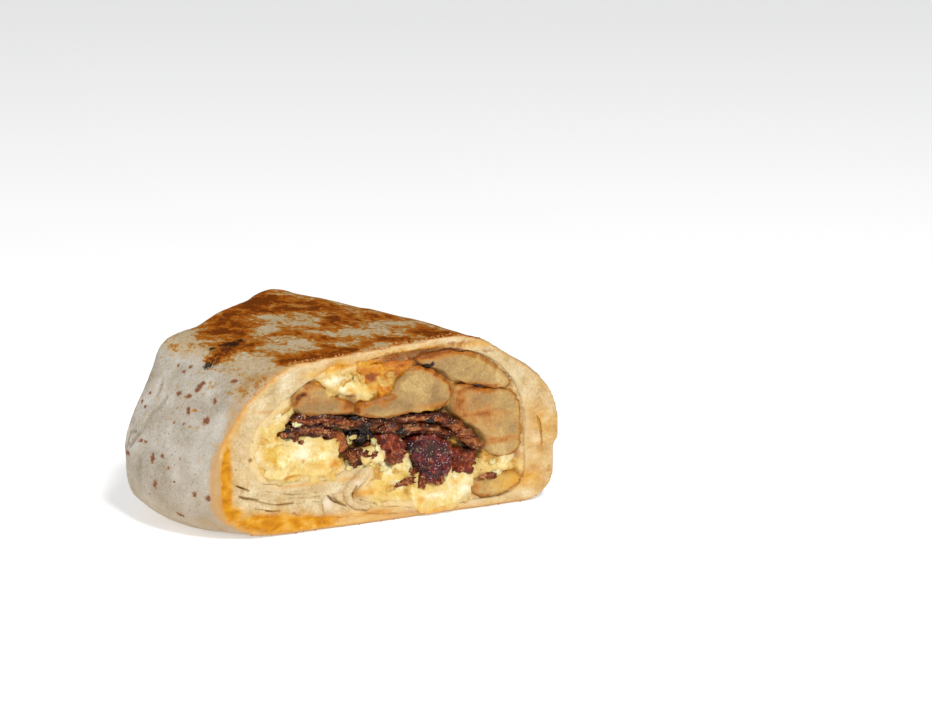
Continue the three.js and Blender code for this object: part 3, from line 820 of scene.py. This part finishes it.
def dough_relief(dough, inset, room_gap, lips):
    """How deep each point of the dough lies, and how much of a seam and of a dark line is there; the line is
    painted shade along a layer's edge, in grooves and at the lips of gaps.
    """
    wander = inset + relief(dough, LAYER_WANDER, 1)
    layer = np.floor(wander / LAYER_THICKNESS)
    share = wander / LAYER_THICKNESS - layer
    from_seam = np.minimum(share, 1 - share) * LAYER_THICKNESS
    seam = smooth_share(lumps(dough, 8, 3), -0.2, 0.4) * bell(from_seam, SEAM_WIDTH)
    seam *= wander > LAYER_THICKNESS / 2
    # Each layer stands a little proud of or behind its neighbour
    depth = SEAM_DEPTH * seam + LAYER_OFFSET * np.sin(layer * 2.4) * smooth_share(from_seam, 0, 0.5)
    depth += relief(dough, DOUGH_RELIEF, 4)
    # Edges of layers: one side stands out, and the other lies deeper, with a dark line painted on it as
    # painted shade
    step_gap, side = near_lines(dough, DOUGH_STEPS, on_cut)
    strength = 0.35 + 0.65 * smooth_share(lumps(dough, 3.5, 7), -0.3, 0.3)
    depth -= STEP_RISE * strength * (side > 0) * np.exp(-step_gap / 1.5)
    depth += STEP_DROP * strength * (side < 0) * np.exp(-step_gap / 1.2)
    line = np.where(side < 0, strength, 0.3 * strength) * bell(step_gap, STEP_LINE)
    # The curled end stands out like half a rope, with a groove on either side; the dark line painted along
    # the grooves and at the lips of gaps is painted shade
    across = across_ribbon(dough)
    rope = RIBBON_HEIGHT * np.sqrt(np.clip(1 - across ** 2, 0, 1))
    depth = np.where(across < 1, 0.3 * depth - rope, depth) + RIBBON_GROOVE * bell(across - 1, 0.4)
    line = np.maximum(line, 0.5 * strength * bell(across - 1.05, 0.2))
    line = np.maximum(line, 2.0 * bell(gaps_to(dough, lips), LIP_WIDTH))
    depth += stain_field(dough, DOUGH_HOLLOWS, on_cut)
    depth -= 0.1 * smooth_share(inset, 0.2, 1)
    depth += 0.3 * (1 - smooth_share(room_gap, 0, 0.7))
    return depth * smooth_share(inset, 0, 0.6), seam, line


def skin_relief(points, behind):
    """How far each point of the skin stands out: wrinkles, and folds between soft lips."""
    fold = fold_distance(points)
    width, depth = SKIN_GRAIN
    height = relief(points, SKIN_RELIEF, 8) + depth * lumps(points * np.array([0.4, 1, 1]), width, 10)
    height += FOLD_LIP * bell(fold - 1.2, 0.7) - FOLD_DEPTH * bell(fold, 0.5)
    return height * smooth_share(behind, 0, 2)


def tortilla_wrap():
    """The rolled tortilla: its wrinkled skin and the layers of dough at the cut."""
    wrap, hollows, rim_spots, room_spots, lips, sauce = open_wrap()
    wrap_skin(wrap)
    modify(wrap, "BOOLEAN", operation="DIFFERENCE", object=hollows, solver="MANIFOLD")
    bpy.data.objects.remove(hollows)

    points = places(wrap)
    normals = outward(wrap)
    section = to_section(points)
    behind = section[:, 2]
    count = len(points)
    at_cut = behind < TOUCH
    face = np.flatnonzero(at_cut)
    skin = np.flatnonzero(behind > TOUCH)
    near_rim = np.flatnonzero(~at_cut & (behind < FAR))
    inset = on_some(count, face, gaps_to(points[face], rim_spots))
    room_gap = on_some(count, face, gaps_to(points[face], room_spots), FAR)
    rim_gap = on_some(count, near_rim, gaps_to(points[near_rim], rim_spots), FAR)
    rim_gap[face] = 0
    from_outline = nearest(section[near_rim] * FLAT, to_section(rim_spots) * FLAT)[0]

    depth, seam, line = dough_relief(points[face], inset[face], room_gap[face], lips)
    points[face] -= np.outer(np.maximum(depth, -MOST_OUT) * MM, CUT_NORMAL)
    points[skin] += normals[skin] * (skin_relief(points[skin], behind[skin]) * MM)[:, None]
    points[:, 2] = np.maximum(points[:, 2], 0)
    move_points(wrap, points)

    # What the finish reads
    upward = smooth_share(normals[:, 2], 0.45, 0.85)
    # The griddle marks hold one small painted glint as well as the browning
    griddle_and_glint_spots = stain_field(points, GRIDDLE_AND_GLINT_MARKS, on_skin)
    for name, values in (
            ("seam", on_some(count, face, seam)), ("line", on_some(count, face, line)),
            ("sunk", on_some(count, face, depth)), ("cut", at_cut), ("inset", inset), ("rim_gap", rim_gap),
            ("room_gap", room_gap), ("inner", on_some(count, near_rim, from_outline > INNER_REACH)),
            ("upward", upward), ("crease", fold_distance(points)),
            ("griddle", upward * (TOP_HEAT + MARK_HEAT * griddle_and_glint_spots) - SIDE_CHILL),
            ("blister", np.maximum(cone_field(points, BLISTERS, on_skin), far_blisters(points, normals))),
            ("char", cone_field(points, CHAR_MARKS, on_skin)),
            ("pale", stain_field(points, PALE_DOUGH_AND_HIGHLIGHT_MARKS, on_cut)),
            ("lapped", stain_field(points, LAPPED_MARKS, on_cut)),
            ("scorched", stain_field(points, SCORCH_MARKS, on_skin)),
            ("warm", stain_field(points, WARM_MARKS, on_skin)),
            ("freckled", stain_field(points, FRECKLED_MARKS, on_skin))):
        store(wrap, name, values)
    stain_attributes(wrap)
    finish_piece(wrap, "tortilla", griddled_tortilla(), "tortilla")
    bpy.ops.object.shade_smooth_by_angle(angle=SHARP_EDGE)
    return wrap, rim_spots, sauce


def stain_attributes(piece, fried=0, burnt=0):
    """How oily, fried and burnt each point is, by the stains seen on the cut and what is passed in; the burnt
    share also carries painted shade.
    """
    points = places(piece)
    fade = 1 - smooth_share(behind_cut(points), 2, 7)
    for name, marks, more in (("oil", OIL_MARKS, 0), ("fry", FRY_MARKS, fried), ("burn_and_shade", BURN_AND_SHADOW_MARKS, burnt)):
        store(piece, name, fade * stain_field(points, marks, on_cut) + more)


def finish_piece(piece, slot, material, node=None):
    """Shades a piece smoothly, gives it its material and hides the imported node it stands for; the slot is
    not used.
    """
    only(piece)
    bpy.ops.object.shade_smooth()
    piece.data.materials.clear()
    piece.data.materials.append(material)
    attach(piece, "root")
    if node:
        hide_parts(node)


# Filling


def add_curds(piece, count, seed):
    """Joins small lumps to the cut face of a heap of egg."""
    draw = np.random.default_rng(seed)
    points = places(piece)
    front = np.flatnonzero((behind_cut(points) < 3) & (outward(piece) @ CUT_NORMAL > 0.3))
    curds = []
    for index in draw.choice(front, count):
        radius = draw.uniform(*CURD_RADIUS)
        curd = ball(2, radius * MM, points[index] - CUT_NORMAL * radius * CURD_SUNK * MM)
        curd.scale = draw.uniform(0.7, 1.3, 3)
        curds.append(curd)
    joined([piece, *curds])


def cut_face(points, facing, outline_start):
    """How far each point of a cut face lies inside its outline, and how much it is a side wall."""
    behind = behind_cut(points)
    walls = points[(facing < 0.3) & (behind > outline_start) & (behind < SAUCE_BACK)]
    face = np.flatnonzero((facing > 0.1) & (behind < 4))
    inside = nearest(to_section(points[face]) * FLAT, to_section(walls) * FLAT)[0]
    return on_some(len(points), face, inside), 1 - smooth_share(facing, 0.2, 0.7)


def filling_piece(node, food, material, seed):
    """One piece of the filling, with its own relief and browned edges."""
    look = FOODS[food]
    piece = merged_copy(node, node + "_piece")
    if food == "egg":
        remesh(piece, HEAP_VOXEL)
        add_curds(piece, CURDS[node], seed)
    remesh(piece, look["voxel"])
    modify(piece, "SMOOTH", factor=0.5, iterations=look["smooth"])
    points = places(piece)
    normals = outward(piece)
    behind = behind_cut(points)
    inside, sides = cut_face(points, normals @ CUT_NORMAL, 0.6)
    front = 1 - smooth_share(behind, 1, 6)
    grain = points @ SQUARE_TO_CUT.T * np.array([1, STREAKED.get(node, 1), 1])
    rough = relief(grain, look["relief"], seed)
    gap, own = (np.full(len(points), value) for value in NO_CELLS)
    for width, depth in look["cells"]:
        dome, gap, own = cells(grain, width, seed + 50)
        rough += depth * (dome - 0.5)
    # Painted shade and painted light on the potatoes, carried in each point's own tone
    if food == "potato":
        own += stain_field(points, POTATO_LIGHT_AND_SHADE, on_cut)
    swell = lumps(points, 4, seed + 9) + 0.5 * lumps(points, 1.5, seed)
    height = sides * (look["swell"] + look["uneven"] * swell)
    height -= (1 - sides) * front * 0.6 * look["round"] * (1 - smooth_share(inside, 0, look["round"]))
    height += (1 - smooth_share(behind, WORKED_DEPTH / 2, WORKED_DEPTH)) * rough
    points += normals * (height * MM)[:, None]
    points += np.outer(front * STANDS_OUT[node] * MM, CUT_NORMAL)
    points[:, 2] = np.maximum(points[:, 2], LOWEST_PIECE * MM)
    points = pushed(points, SAGS.get(node, ()))
    points[:, 2] = np.maximum(points[:, 2], LOWEST_SAG * MM)
    move_points(piece, points)
    for name, values in (("edge", inside), ("hollow", -rough), ("gap", gap), ("own", own), ("grain", grain)):
        store(piece, name, values)
    stain_attributes(piece)
    if food == "egg":
        store(piece, "pale", stain_field(points, PALE_CURDS, on_cut))
    finish_piece(piece, "burnt_bacon" if food == "burnt" else food, material, node)
    return piece


def nearness(points, kind, start, end):
    """1 up to start millimetres from the cut end of some kind of filling, and less up to end."""
    ends = np.vstack([places(filling[node]) for node in filling if node.startswith(kind)])
    ends = ends[behind_cut(ends) < SAUCE_BACK][::3]
    return 1 - smooth_share(gaps_to(points, ends), start, end)


def melted_sauce(slab, material):
    """Melted cheese and juices behind the cut, painted dark by the bacon as shade in the deep holes there,
    and brown by the potatoes.
    """
    modify(slab, "REMESH", mode="VOXEL", voxel_size=SAUCE_VOXEL * MM)
    points = places(slab)
    normals = outward(slab)
    inside, sides = cut_face(points, normals @ CUT_NORMAL, 0)
    store(slab, "edge", inside)
    store(slab, "grain", points)
    by_bacon = nearness(points, "bacon", 0.4, 2.4)
    by_potato = nearness(points, "potato", 0.2, 1.8)
    height = sides * (SAUCE_SWELL[0] + SAUCE_SWELL[1] * lumps(points, 2, 14))
    height -= (1 - sides) * (SAUCE_SUNK[0] * by_bacon + SAUCE_SUNK[1] * by_potato)
    height += 0.3 * (1 - sides) * (1 - smooth_share(inside, 0.5, 2))
    height += relief(points, SAUCE_RELIEF, 11)
    move_points(slab, points + normals * (height * MM)[:, None])
    # Beside the bacon the burnt share is painted shade of the deep holes between the rashers
    stain_attributes(slab, 0.5 * by_potato, 0.5 * by_bacon)
    finish_piece(slab, "cheese", material)


def touch(trees, across, down):
    """The nearest point of the shown pieces behind a pixel."""
    hits = [tree.ray_cast(Vector(eye), Vector(pixel_way(across, down)))[0] for tree in trees]
    hits = [np.array(hit) for hit in hits if hit is not None]
    return min(hits, key=lambda hit: np.linalg.norm(hit - eye))


def loose_bits(name, marks, trees, slot, material, seed):
    """Small torn bits lying on the cut."""
    draw = np.random.default_rng(seed)
    bits = []
    for across, down, width, height in marks:
        middle = touch(trees, across, down)
        bit = ball(3, 1)
        torn = places(bit)
        start = draw.uniform(0, 50, 3)
        torn *= np.array([[1 + sum(depth * noise.noise(Vector(spot * fineness + start))
                                   for fineness, depth in BIT_RELIEF)] for spot in torn])
        pixel = (eye - middle) @ view_back / FOCAL_LENGTH
        sizes = np.array([BIT_FLATNESS * min(width, height), width, height]) * pixel * BIT_SIZE
        move_points(bit, (torn * sizes) @ SQUARE_TO_CUT + middle)
        bits.append(bit)
    bits = joined(bits)
    bits.name = name
    points = places(bits)
    store(bits, "edge", 0.9 + 0.9 * lumps(points, 1.0, seed))
    store(bits, "own", 0.5 + 0.5 * lumps(points, 4, seed + 1))
    store(bits, "gap", np.full(len(points), NO_CELLS[0]))
    store(bits, "grain", points)
    finish_piece(bits, slot, material)


def rim_crumbs(wrap_tree, rim_spots, material):
    """Tiny toasted crumbs along the upper and the lower rim of the cut."""
    draw = np.random.default_rng(5)
    section = to_section(rim_spots)
    upper = rim_spots[(section[:, 0] < UPPER_RIM[0]) & (section[:, 1] > UPPER_RIM[1])]
    lower = rim_spots[section[:, 1] < LOWER_RIM]
    crumbs = []
    for i in range(CRUMBS):
        rim = upper if i % 4 else lower
        spot = rim[draw.integers(len(rim))] - CUT_NORMAL * abs(draw.normal(0, CRUMB_SPREAD)) * MM
        place = wrap_tree.find_nearest(Vector(spot))[0]
        crumb = ball(1, draw.uniform(*CRUMB_RADIUS) * MM, place)
        crumb.scale = draw.uniform(0.6, 1.4, 3)
        crumbs.append(crumb)
    crumbs = joined(crumbs)
    bpy.ops.object.transform_apply(location=True, rotation=True, scale=True)
    crumbs.name = "rim_crumbs"
    points = places(crumbs)
    points[:, 2] = np.maximum(points[:, 2], 0)
    move_points(crumbs, points)
    finish_piece(crumbs, "tortilla", material)


# Finishes


def new_material(name):
    """An empty material and its tree of nodes."""
    material = bpy.data.materials.new(name)
    material.use_nodes = True
    material.node_tree.nodes.clear()
    return material, material.node_tree


def clouds(tree, place, width, detail, roughness=0.5, distortion=0.0):
    """A pattern of noise whose clouds are about width millimetres wide."""
    return add(tree, "TexNoise", {"Vector": place, "Scale": PER_MM / width, "Detail": detail,
                                  "Roughness": roughness, "Distortion": distortion})


def spread(tree, field, given, wanted, clamp=True):
    """A field with its given lowest and highest values turned into the wanted ones."""
    return add(tree, "MapRange", {"Value": field, "From Min": given[0], "From Max": given[1],
                                  "To Min": wanted[0], "To Max": wanted[1]}, clamp=clamp)


def layered(tree, colour, *layers):
    """Colours laid over a first one: none of each where its field is none_at, and most of it at full_at."""
    for over, field, none_at, full_at, most in layers:
        share = spread(tree, field, (none_at, full_at), (0, most))
        colour = add(tree, "MixRGB", {"Fac": share, "Color1": colour, "Color2": over})
    return colour


def uneven(tree, field, pattern, most):
    """A field made uneven by a noise pattern, by most either way; the noise is mostly from 0.3 to 0.7."""
    return add(tree, "Math", {0: field, 1: spread(tree, pattern, (0.3, 0.7), (-most, most))}, operation="ADD")


def lit(tree, bump, blue, inputs):
    """Ends a material with its bumps, and with light that wanders inside it, blue least."""
    inputs["Normal"] = add(tree, "Bump", bump)
    inputs["Subsurface Scale"] = 1.2 * MM
    inputs["Subsurface Radius"] = (1.0, 0.6, blue)
    add(tree, "OutputMaterial", {"Surface": add(tree, "BsdfPrincipled", inputs)})


def griddled_tortilla():
    """Flour tortilla, rolled, pressed on a griddle and cut: matt floury dough, browned where it touched."""
    material, tree = new_material("griddled flour tortilla")
    place = add(tree, "TexCoord").outputs["Object"]
    skin = griddled(tree, place, skin_colour(tree, place))
    dough = layered(tree, dough_colour(tree, place), (skin, "lapped", 0.45, 0.8, 0.85))
    colour = layered(tree, skin, (dough, "cut", 0, 1, 1), ("#b07c34", "inner", 0, 1, 1))
    # Fine flour and crumb catch the light unevenly
    grain = clouds(tree, place, 0.5, 3, 0.6)
    wave = clouds(tree, place, 2.6, 2)
    height = add(tree, "Math", {0: grain, 1: wave}, operation="ADD")
    # Oil makes the dough shine a little, and the browned top is dull
    rough = spread(tree, "oil", (0.1, 0.8), (0.7, 0.3))
    gloss = spread(tree, "upward", (0, 1), (0.15, 0.02))
    lit(tree, {"Height": height, "Strength": 0.9, "Distance": 0.36 * MM}, 0.35,
        {"Base Color": colour, "Roughness": rough, "Specular IOR Level": gloss, "Subsurface Weight": 0.2})
    return material


def floury(tree, place, width, detail, roughness):
    """A cloudy pattern with the fine grain of flour, its clouds width millimetres wide."""
    cloud = clouds(tree, place, width, detail, roughness)
    grain = clouds(tree, place, 0.6, 3, 0.6)
    return uneven(tree, cloud, grain, 0.1)


def skin_colour(tree, place):
    """Pale floury skin, with painted shade making it darker and tan low down, and warm by the cut."""
    pale = add(tree, "ValToRGB", {"Fac": floury(tree, place, 9, 7, 0.62)}, stops=(
        (0.3, "#9d917c"), (0.7, "#d2cbbf"), (0.42, "#b3a896"), (0.55, "#c2b9ab")))
    holes = add(tree, "TexVoronoi", {"Vector": place, "Scale": PER_MM / 1.5})
    height = add(tree, "SeparateXYZ", {"Vector": place}).outputs["Z"]
    creep = clouds(tree, place, 2.4, 4, 0.65)
    reach = add(tree, "Math", {0: creep, 1: 3.2}, operation="MULTIPLY")
    dots = clouds(tree, place, 0.8, 4, 0.7)
    dots = add(tree, "Math", {0: dots, 1: "freckled"}, operation="ADD")
    return layered(
        tree, pale,
        # Pinholes in the flour, about one in each square of 1.5 mm
        ("#75664a", holes, 0.17, 0.05, 0.85),
        # Painted shade: the side is darker and tan low down, towards the floor
        ("#a98f68", height, 20 * MM, 0, 0.55),
        # Oil creeps out past the cut and tints the skin, and brown freckles lie there
        ("#c29758", uneven(tree, "warm", creep, 0.4), 0.1, 1.1, 0.85),
        ("#c99a5c", "rim_gap", reach, 0.2, 0.8),
        ("#8a6436", dots, 0.95, 1.2, 0.7),
        # Folds are painted darker, as painted shade in the creases
        ("#735f3a", "crease", 0.75, 0.15, 0.75))


def griddled(tree, place, colour):
    """Griddle browning in streaks, blisters and char over a base colour."""
    turned = add(tree, "Mapping", {
        "Vector": place, "Rotation": (0, 0, -CAMERA_AZIMUTH), "Scale": (0.7, 1, 1)})
    streak = clouds(tree, turned, 3, 8, 0.64, 0.5)
    mottle = clouds(tree, place, 1.1, 5, 0.7)
    heat = uneven(tree, uneven(tree, "griddle", streak, 0.78), mottle, 0.36)
    touched = add(tree, "ValToRGB", {"Fac": mottle}, stops=(
        (0.3, "#d0b991"), (0.7, "#93683a"), (0.55, "#bfa274")))
    browned = add(tree, "ValToRGB", {"Fac": heat}, stops=(
        (0, "#a98c60"), (1, "#723607"), (0.2, "#ac783a"), (0.4, "#b0681c"), (0.65, "#a35510"),
        (0.85, "#8c4509")))
    ragged = clouds(tree, place, 0.9, 4, 0.6)
    blister = uneven(tree, "blister", ragged, 0.4)
    return layered(
        tree, colour,
        # The whole top is tan where it touched the griddle without browning
        (touched, "upward", 0.4, 1, 0.7),
        ("#ba9458", heat, -0.2, 0.08, 0.85),
        (browned, heat, 0.02, 0.18, 1),
        ("#46291a", uneven(tree, "scorched", mottle, 0.36), 0.7, 1, 0.8),
        # Blisters: a brown middle in a faint reddish halo
        ("#b08a66", blister, -0.45, 0.1, 0.55),
        ("#7c4626", blister, -0.05, 0.35, 0.88),
        ("#22140a", uneven(tree, "char", ragged, 0.4), 0, 0.45, 0.92))


def dough_colour(tree, place):
    """Cream dough at the cut, toasted at the rim and stained orange by the oil of the filling, with painted
    shade in its hollows and along edges of layers, and painted glints.
    """
    cream = add(tree, "ValToRGB", {"Fac": floury(tree, place, 4.5, 6, 0.6)}, stops=(
        (0.3, "#ba9b66"), (0.72, "#efe0c0"), (0.43, "#d1b686"), (0.57, "#dfca9f")))
    fleck = clouds(tree, place, 1.5, 4, 0.6)
    pools = clouds(tree, place, 5, 6, 0.62, 0.6)
    turned = add(tree, "Mapping", {"Vector": place, "Scale": (0.7, 0.7, 1.3)})
    streaks = clouds(tree, turned, 3.4, 5, 0.58, 0.3)
    oil = add(tree, "ValToRGB", {"Fac": streaks}, stops=(
        (0.3, "#ba7204"), (0.7, "#efc684"), (0.42, "#d18a0c"), (0.5, "#db9818"), (0.6, "#e5ae48")))
    edge = uneven(tree, "inset", fleck, 0.35)
    colour = layered(
        tree, cream,
        # Whiter dough, and a painted highlight on the curled end
        ("#f3e5ce", "pale", 0.1, 1, 0.7),
        # Seams are darker; hollows are painted darker as painted shade; edges of layers, grooves and lips of
        # gaps get a dark line that is partly a dark joint and partly painted shade
        ("#c39d60", "seam", 0, 1, 0.22),
        ("#cf9a4a", "sunk", 0.15, 0.9, 0.6),
        ("#8f6526", "line", 0.25, 1.7, 0.85),
        # Next to the filling the dough takes its colour, with a ragged edge
        ("#e3cb9a", uneven(tree, "room_gap", fleck, 0.35), 1.8, 0.2, 0.7),
        # Oil: soft-edged, deeper in pools and streaks
        (oil, uneven(tree, "oil", pools, 0.22), 0, 1.1, 1),
        ("#a0601c", uneven(tree, "fry", fleck, 0.35), 0.3, 0.9, 0.85),
        # Golden line just inside the toasted outer edge of the cut
        ("#dfae5c", edge, 1.8, 0.4, 0.6),
        ("#dd9a46", edge, 0.7, 0.15, 0.85))
    # Pale flecks on the dough are painted glints
    return dotted_with_glints_and_specks(tree, colour, "#faeccb", 0.6)


def stained(tree, place, colour, fried):
    """A food's colour with the oil, frying and burning that show on the cut, the burning also carrying
    painted shade.
    """
    fleck = clouds(tree, place, 1.6, 6, 0.7)
    for name, light, dark in (("pale", "#f7ecc0", "#fdf8e0"), ("oil", "#ecbb4c", "#dc9216"), ("fry", *fried),
                              ("burn_and_shade", "#4a2614", "#160b07")):
        amount = uneven(tree, name, fleck, 0.28)
        shade = add(tree, "ValToRGB", {"Fac": amount}, stops=((0.35, light), (0.95, dark)))
        colour = layered(tree, colour, (shade, amount, 0.1, 0.8, 0.92))
    return colour


def dotted_with_glints_and_specks(tree, colour, glints_and_specks, sparse):
    """Round flecks about a quarter of a millimetre wide, in clusters: pale ones are painted glints, dark ones
    are specks.
    """
    place = add(tree, "TexCoord").outputs["Object"]
    dots = add(tree, "TexVoronoi", {"Vector": place, "Scale": PER_MM / 0.55})
    dots = spread(tree, dots, (0.32, 0.15), (0, 0.85))
    field = clouds(tree, place, 1.3, 2)
    field = spread(tree, field, (sparse, sparse + 0.1), (0, 1))
    share = add(tree, "Math", {0: dots, 1: field}, operation="MULTIPLY")
    return layered(tree, colour, (glints_and_specks, share, 0, 1, 1))


def food_material(name, tones, lump, edges, fried, roughness, gloss, grain, bumps, scatter, coat=0.0,
                  seams=None, glints_and_specks=None, sparse=0.5):
    """A moist food: mottled tones, edges of other colours, stains, specks and painted glints, bumps and some
    light let in.
    """
    material, tree = new_material(name)
    place = add(tree, "Attribute", attribute_name="grain").outputs["Vector"]
    cloud = clouds(tree, place, lump, 7, 0.68, 0.6)
    # Each curd or lump is a shade of its own; on the potatoes this also carries painted shade and painted
    # light
    own = spread(tree, "own", (0, 1), (-0.09, 0.09), clamp=False)
    tone = add(tree, "Math", {0: cloud, 1: own}, operation="ADD")
    # Fine grain, as sharp as the finest grain of the bumps
    fine = clouds(tree, place, grain, 4, 0.6)
    colour = add(tree, "ValToRGB", {"Fac": uneven(tree, tone, fine, 0.09)}, stops=tones)
    if seams:
        gap = uneven(tree, "gap", cloud, 0.6)
        colour = layered(tree, colour, (seams, gap, 0.7, 0, 0.6), (seams, "hollow", 0.2, 1, 0.5))
    edge = uneven(tree, "edge", cloud, 0.6)
    for reach, shade, most in edges:
        colour = layered(tree, colour, (shade, edge, reach, reach * 0.4, most))
    colour = stained(tree, place, colour, fried)
    if glints_and_specks:
        colour = dotted_with_glints_and_specks(tree, colour, glints_and_specks, sparse)
    rough = spread(tree, fine, (0.35, 0.65), (roughness - 0.12, roughness + 0.12))
    lit(tree, {"Height": fine, "Strength": 0.8, "Distance": bumps * MM}, 0.25,
        {"Base Color": colour, "Roughness": rough, "Specular IOR Level": gloss, "Coat Weight": coat,
         "Coat Roughness": 0.12, "Subsurface Weight": scatter})
    return material


def food_materials():
    """The finish of each food of the filling."""
    return {
        # Soft scrambled curds: cream to bright yellow, wet, with specks of pepper
        "egg": food_material(
            "scrambled egg", lump=3.4, roughness=0.26, gloss=0.5, grain=0.8, bumps=0.4, scatter=0.4,
            tones=((0.3, "#d9ab38"), (0.64, "#fbf2cf"), (0.38, "#e4c158"), (0.45, "#ecd180"),
                   (0.54, "#f3e2a4")),
            edges=((3.0, "#ecd79c", 0.4), (0.5, "#d9b258", 0.3)), fried=("#d9a23c", "#a0702a"),
            seams="#eac768", glints_and_specks="#7c7238", sparse=0.64),
        # Melted cheese: soft orange with yellow and browned parts, and pale flecks painted as glints
        "cheese": food_material(
            "melted cheddar", lump=2.4, roughness=0.22, gloss=0.32, grain=0.7, bumps=0.35, scatter=0.35,
            tones=((0.3, "#ac5806"), (0.7, "#ecb944"), (0.43, "#c5740a"), (0.56, "#d88f0e")),
            edges=((1.0, "#cf8620", 0.4),), fried=("#c06410", "#8c3f08"), glints_and_specks="#fbe6b4", sparse=0.62),
        # Fried potato: mealy inside, golden towards its skin and dark brown only where fried hard; pale
        # flecks are painted glints
        "potato": food_material(
            "fried potato", lump=8.0, roughness=0.34, gloss=0.25, grain=0.7, bumps=0.2, scatter=0.3,
            tones=((0.3, "#9a7849"), (0.75, "#d6bc86"), (0.42, "#ab8a58"), (0.52, "#b8965c"),
                   (0.62, "#c6a66a")),
            edges=((1.3, "#bb8638", 0.4), (0.5, "#a05c0c", 0.75)), fried=("#cc760a", "#8c4804"),
            glints_and_specks="#f8ecd0", sparse=0.66),
        # Fried bacon: dark lean meat round streaks of pink and tan fat, greasy shine, and pale flecks painted
        # as glints
        "bacon": food_material(
            "fried bacon", lump=1.6, roughness=0.2, gloss=0.16, grain=0.5, bumps=0.35, scatter=0.08,
            coat=0.06,
            tones=((0.34, "#1e0803"), (0.7, "#cf9262"), (0.43, "#521b07"), (0.5, "#763110"),
                   (0.58, "#a05826")),
            edges=((0.8, "#5e240c", 0.7), (0.35, "#2e1007", 0.7)), fried=("#b8682c", "#8a3c12"),
            glints_and_specks="#e6c4a0", sparse=0.48),
        # Bacon still red, with clear fat at its edge and pale flecks painted as glints
        "red": food_material(
            "red bacon", lump=2.4, roughness=0.14, gloss=0.2, grain=0.6, bumps=0.35, scatter=0.12, coat=0.2,
            tones=((0.32, "#2a0702"), (0.72, "#c9804e"), (0.46, "#651604"), (0.58, "#92380e")),
            edges=((0.5, "#7c260a", 0.6),), fried=("#b8682c", "#8a3c12"), glints_and_specks="#ecc8ac", sparse=0.55),
        # A thick glazed chunk: purple-red and wet, with pale flecks painted as glints
        "glazed": food_material(
            "glazed bacon", lump=2.2, roughness=0.1, gloss=0.22, grain=0.45, bumps=0.5, scatter=0.1,
            coat=0.25,
            tones=((0.34, "#0e0204"), (0.72, "#b25a48"), (0.45, "#30060c"), (0.54, "#560c16"),
                   (0.62, "#7e1f1a")),
            edges=((0.9, "#84280f", 0.6),), fried=("#9c4a1c", "#6a2a10"), glints_and_specks="#f6e2e2"),
        # Cheese and juices melted into each other, oily and uneven
        "sauce": food_material(
            "melted cheese and juices", lump=2.4, roughness=0.28, gloss=0.4, grain=0.7, bumps=0.25,
            scatter=0.2,
            tones=((0.3, "#bb8630"), (0.75, "#f3d890"), (0.5, "#dfb35a")),
            edges=((1.6, "#e9cf98", 0.85),), fried=("#b87c30", "#87501c")),
        # Burnt bacon: nearly black, crumbly and shiny, with pale flecks painted as glints
        "burnt": food_material(
            "charred bacon", lump=1.2, roughness=0.16, gloss=0.25, grain=0.5, bumps=0.5, scatter=0.02,
            coat=0.25,
            tones=((0.3, "#080404"), (0.72, "#4a2a1c"), (0.5, "#170c09")),
            edges=(), fried=("#3a2012", "#2a140c"), glints_and_specks="#cbb8b0", sparse=0.56),
        # Toasted crumbs of flour
        "crumbs": food_material(
            "toasted crumbs", lump=1.5, roughness=0.6, gloss=0.2, grain=0.3, bumps=0.1, scatter=0.1,
            tones=((0.3, "#b5712c"), (0.7, "#f3dcc0"), (0.5, "#dcae7c")),
            edges=(), fried=("#b5712c", "#8a4a1c")),
    }


# Room


def studio():
    """A pale floor, a small key light from the upper right and a soft fill from the left."""
    bpy.ops.mesh.primitive_plane_add(size=6, location=(0, 0, 0))
    floor = bpy.context.active_object
    floor.name = "floor"
    material, tree = new_material("matt white paper")
    shader = add(tree, "BsdfPrincipled", {
        "Base Color": "#f4f3f1", "Roughness": 0.8, "Specular IOR Level": 0.2, "Emission Color": "#fdfdfd",
        "Emission Strength": 0.42})
    add(tree, "OutputMaterial", {"Surface": shader})
    floor.data.materials.append(material)
    for name, place, size, power in (
            ("key", (0.66, -0.44, 0.95), 0.2, 9.4), ("fill", (-0.5, -1.0, 0.55), 0.8, 2.9)):
        bpy.ops.object.light_add(type="AREA", location=place)
        light = bpy.context.active_object
        light.name = name
        light.data.size = size
        light.data.energy = power
        light.rotation_euler = (-Vector(place)).to_track_quat("-Z", "Y").to_euler()
    world = bpy.data.worlds.new("pale room")
    bpy.context.scene.world = world
    world.use_nodes = True
    world.node_tree.nodes["Background"].inputs["Color"].default_value = linear("#f2f4f8")
    world.node_tree.nodes["Background"].inputs["Strength"].default_value = 0.36
    bpy.context.scene.view_settings.view_transform = "Standard"


skin_guide = merged_copy("tortilla", "skin_guide")
skin_tree = BVHTree.FromPolygons([vertex.co.copy() for vertex in skin_guide.data.vertices],
                                 [tuple(face.vertices) for face in skin_guide.data.polygons])
bpy.data.objects.remove(skin_guide)

wrap, rim_spots, sauce = tortilla_wrap()
materials = food_materials()
filling = {}
for number, node in enumerate(sorted(set(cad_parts) - {"tortilla"})):
    food = "burnt" if node == "bacon_8" else node.split("_")[0]
    filling[node] = filling_piece(node, food, materials[LOOKS.get(node, food)], 20 + 7 * number)
melted_sauce(sauce, materials["sauce"])
shown = bpy.context.evaluated_depsgraph_get()
trees = [BVHTree.FromObject(piece, shown) for piece in (wrap, sauce, *filling.values())]
loose_bits("egg_bits", EGG_BITS, trees, "egg", materials["egg"], 71)
loose_bits("bacon_bits", BACON_BITS, trees, "bacon", materials["bacon"], 72)
loose_bits("burnt_bits", BURNT_BITS, trees, "burnt_bacon", materials["burnt"], 73)
rim_crumbs(trees[0], rim_spots, materials["crumbs"])
studio()
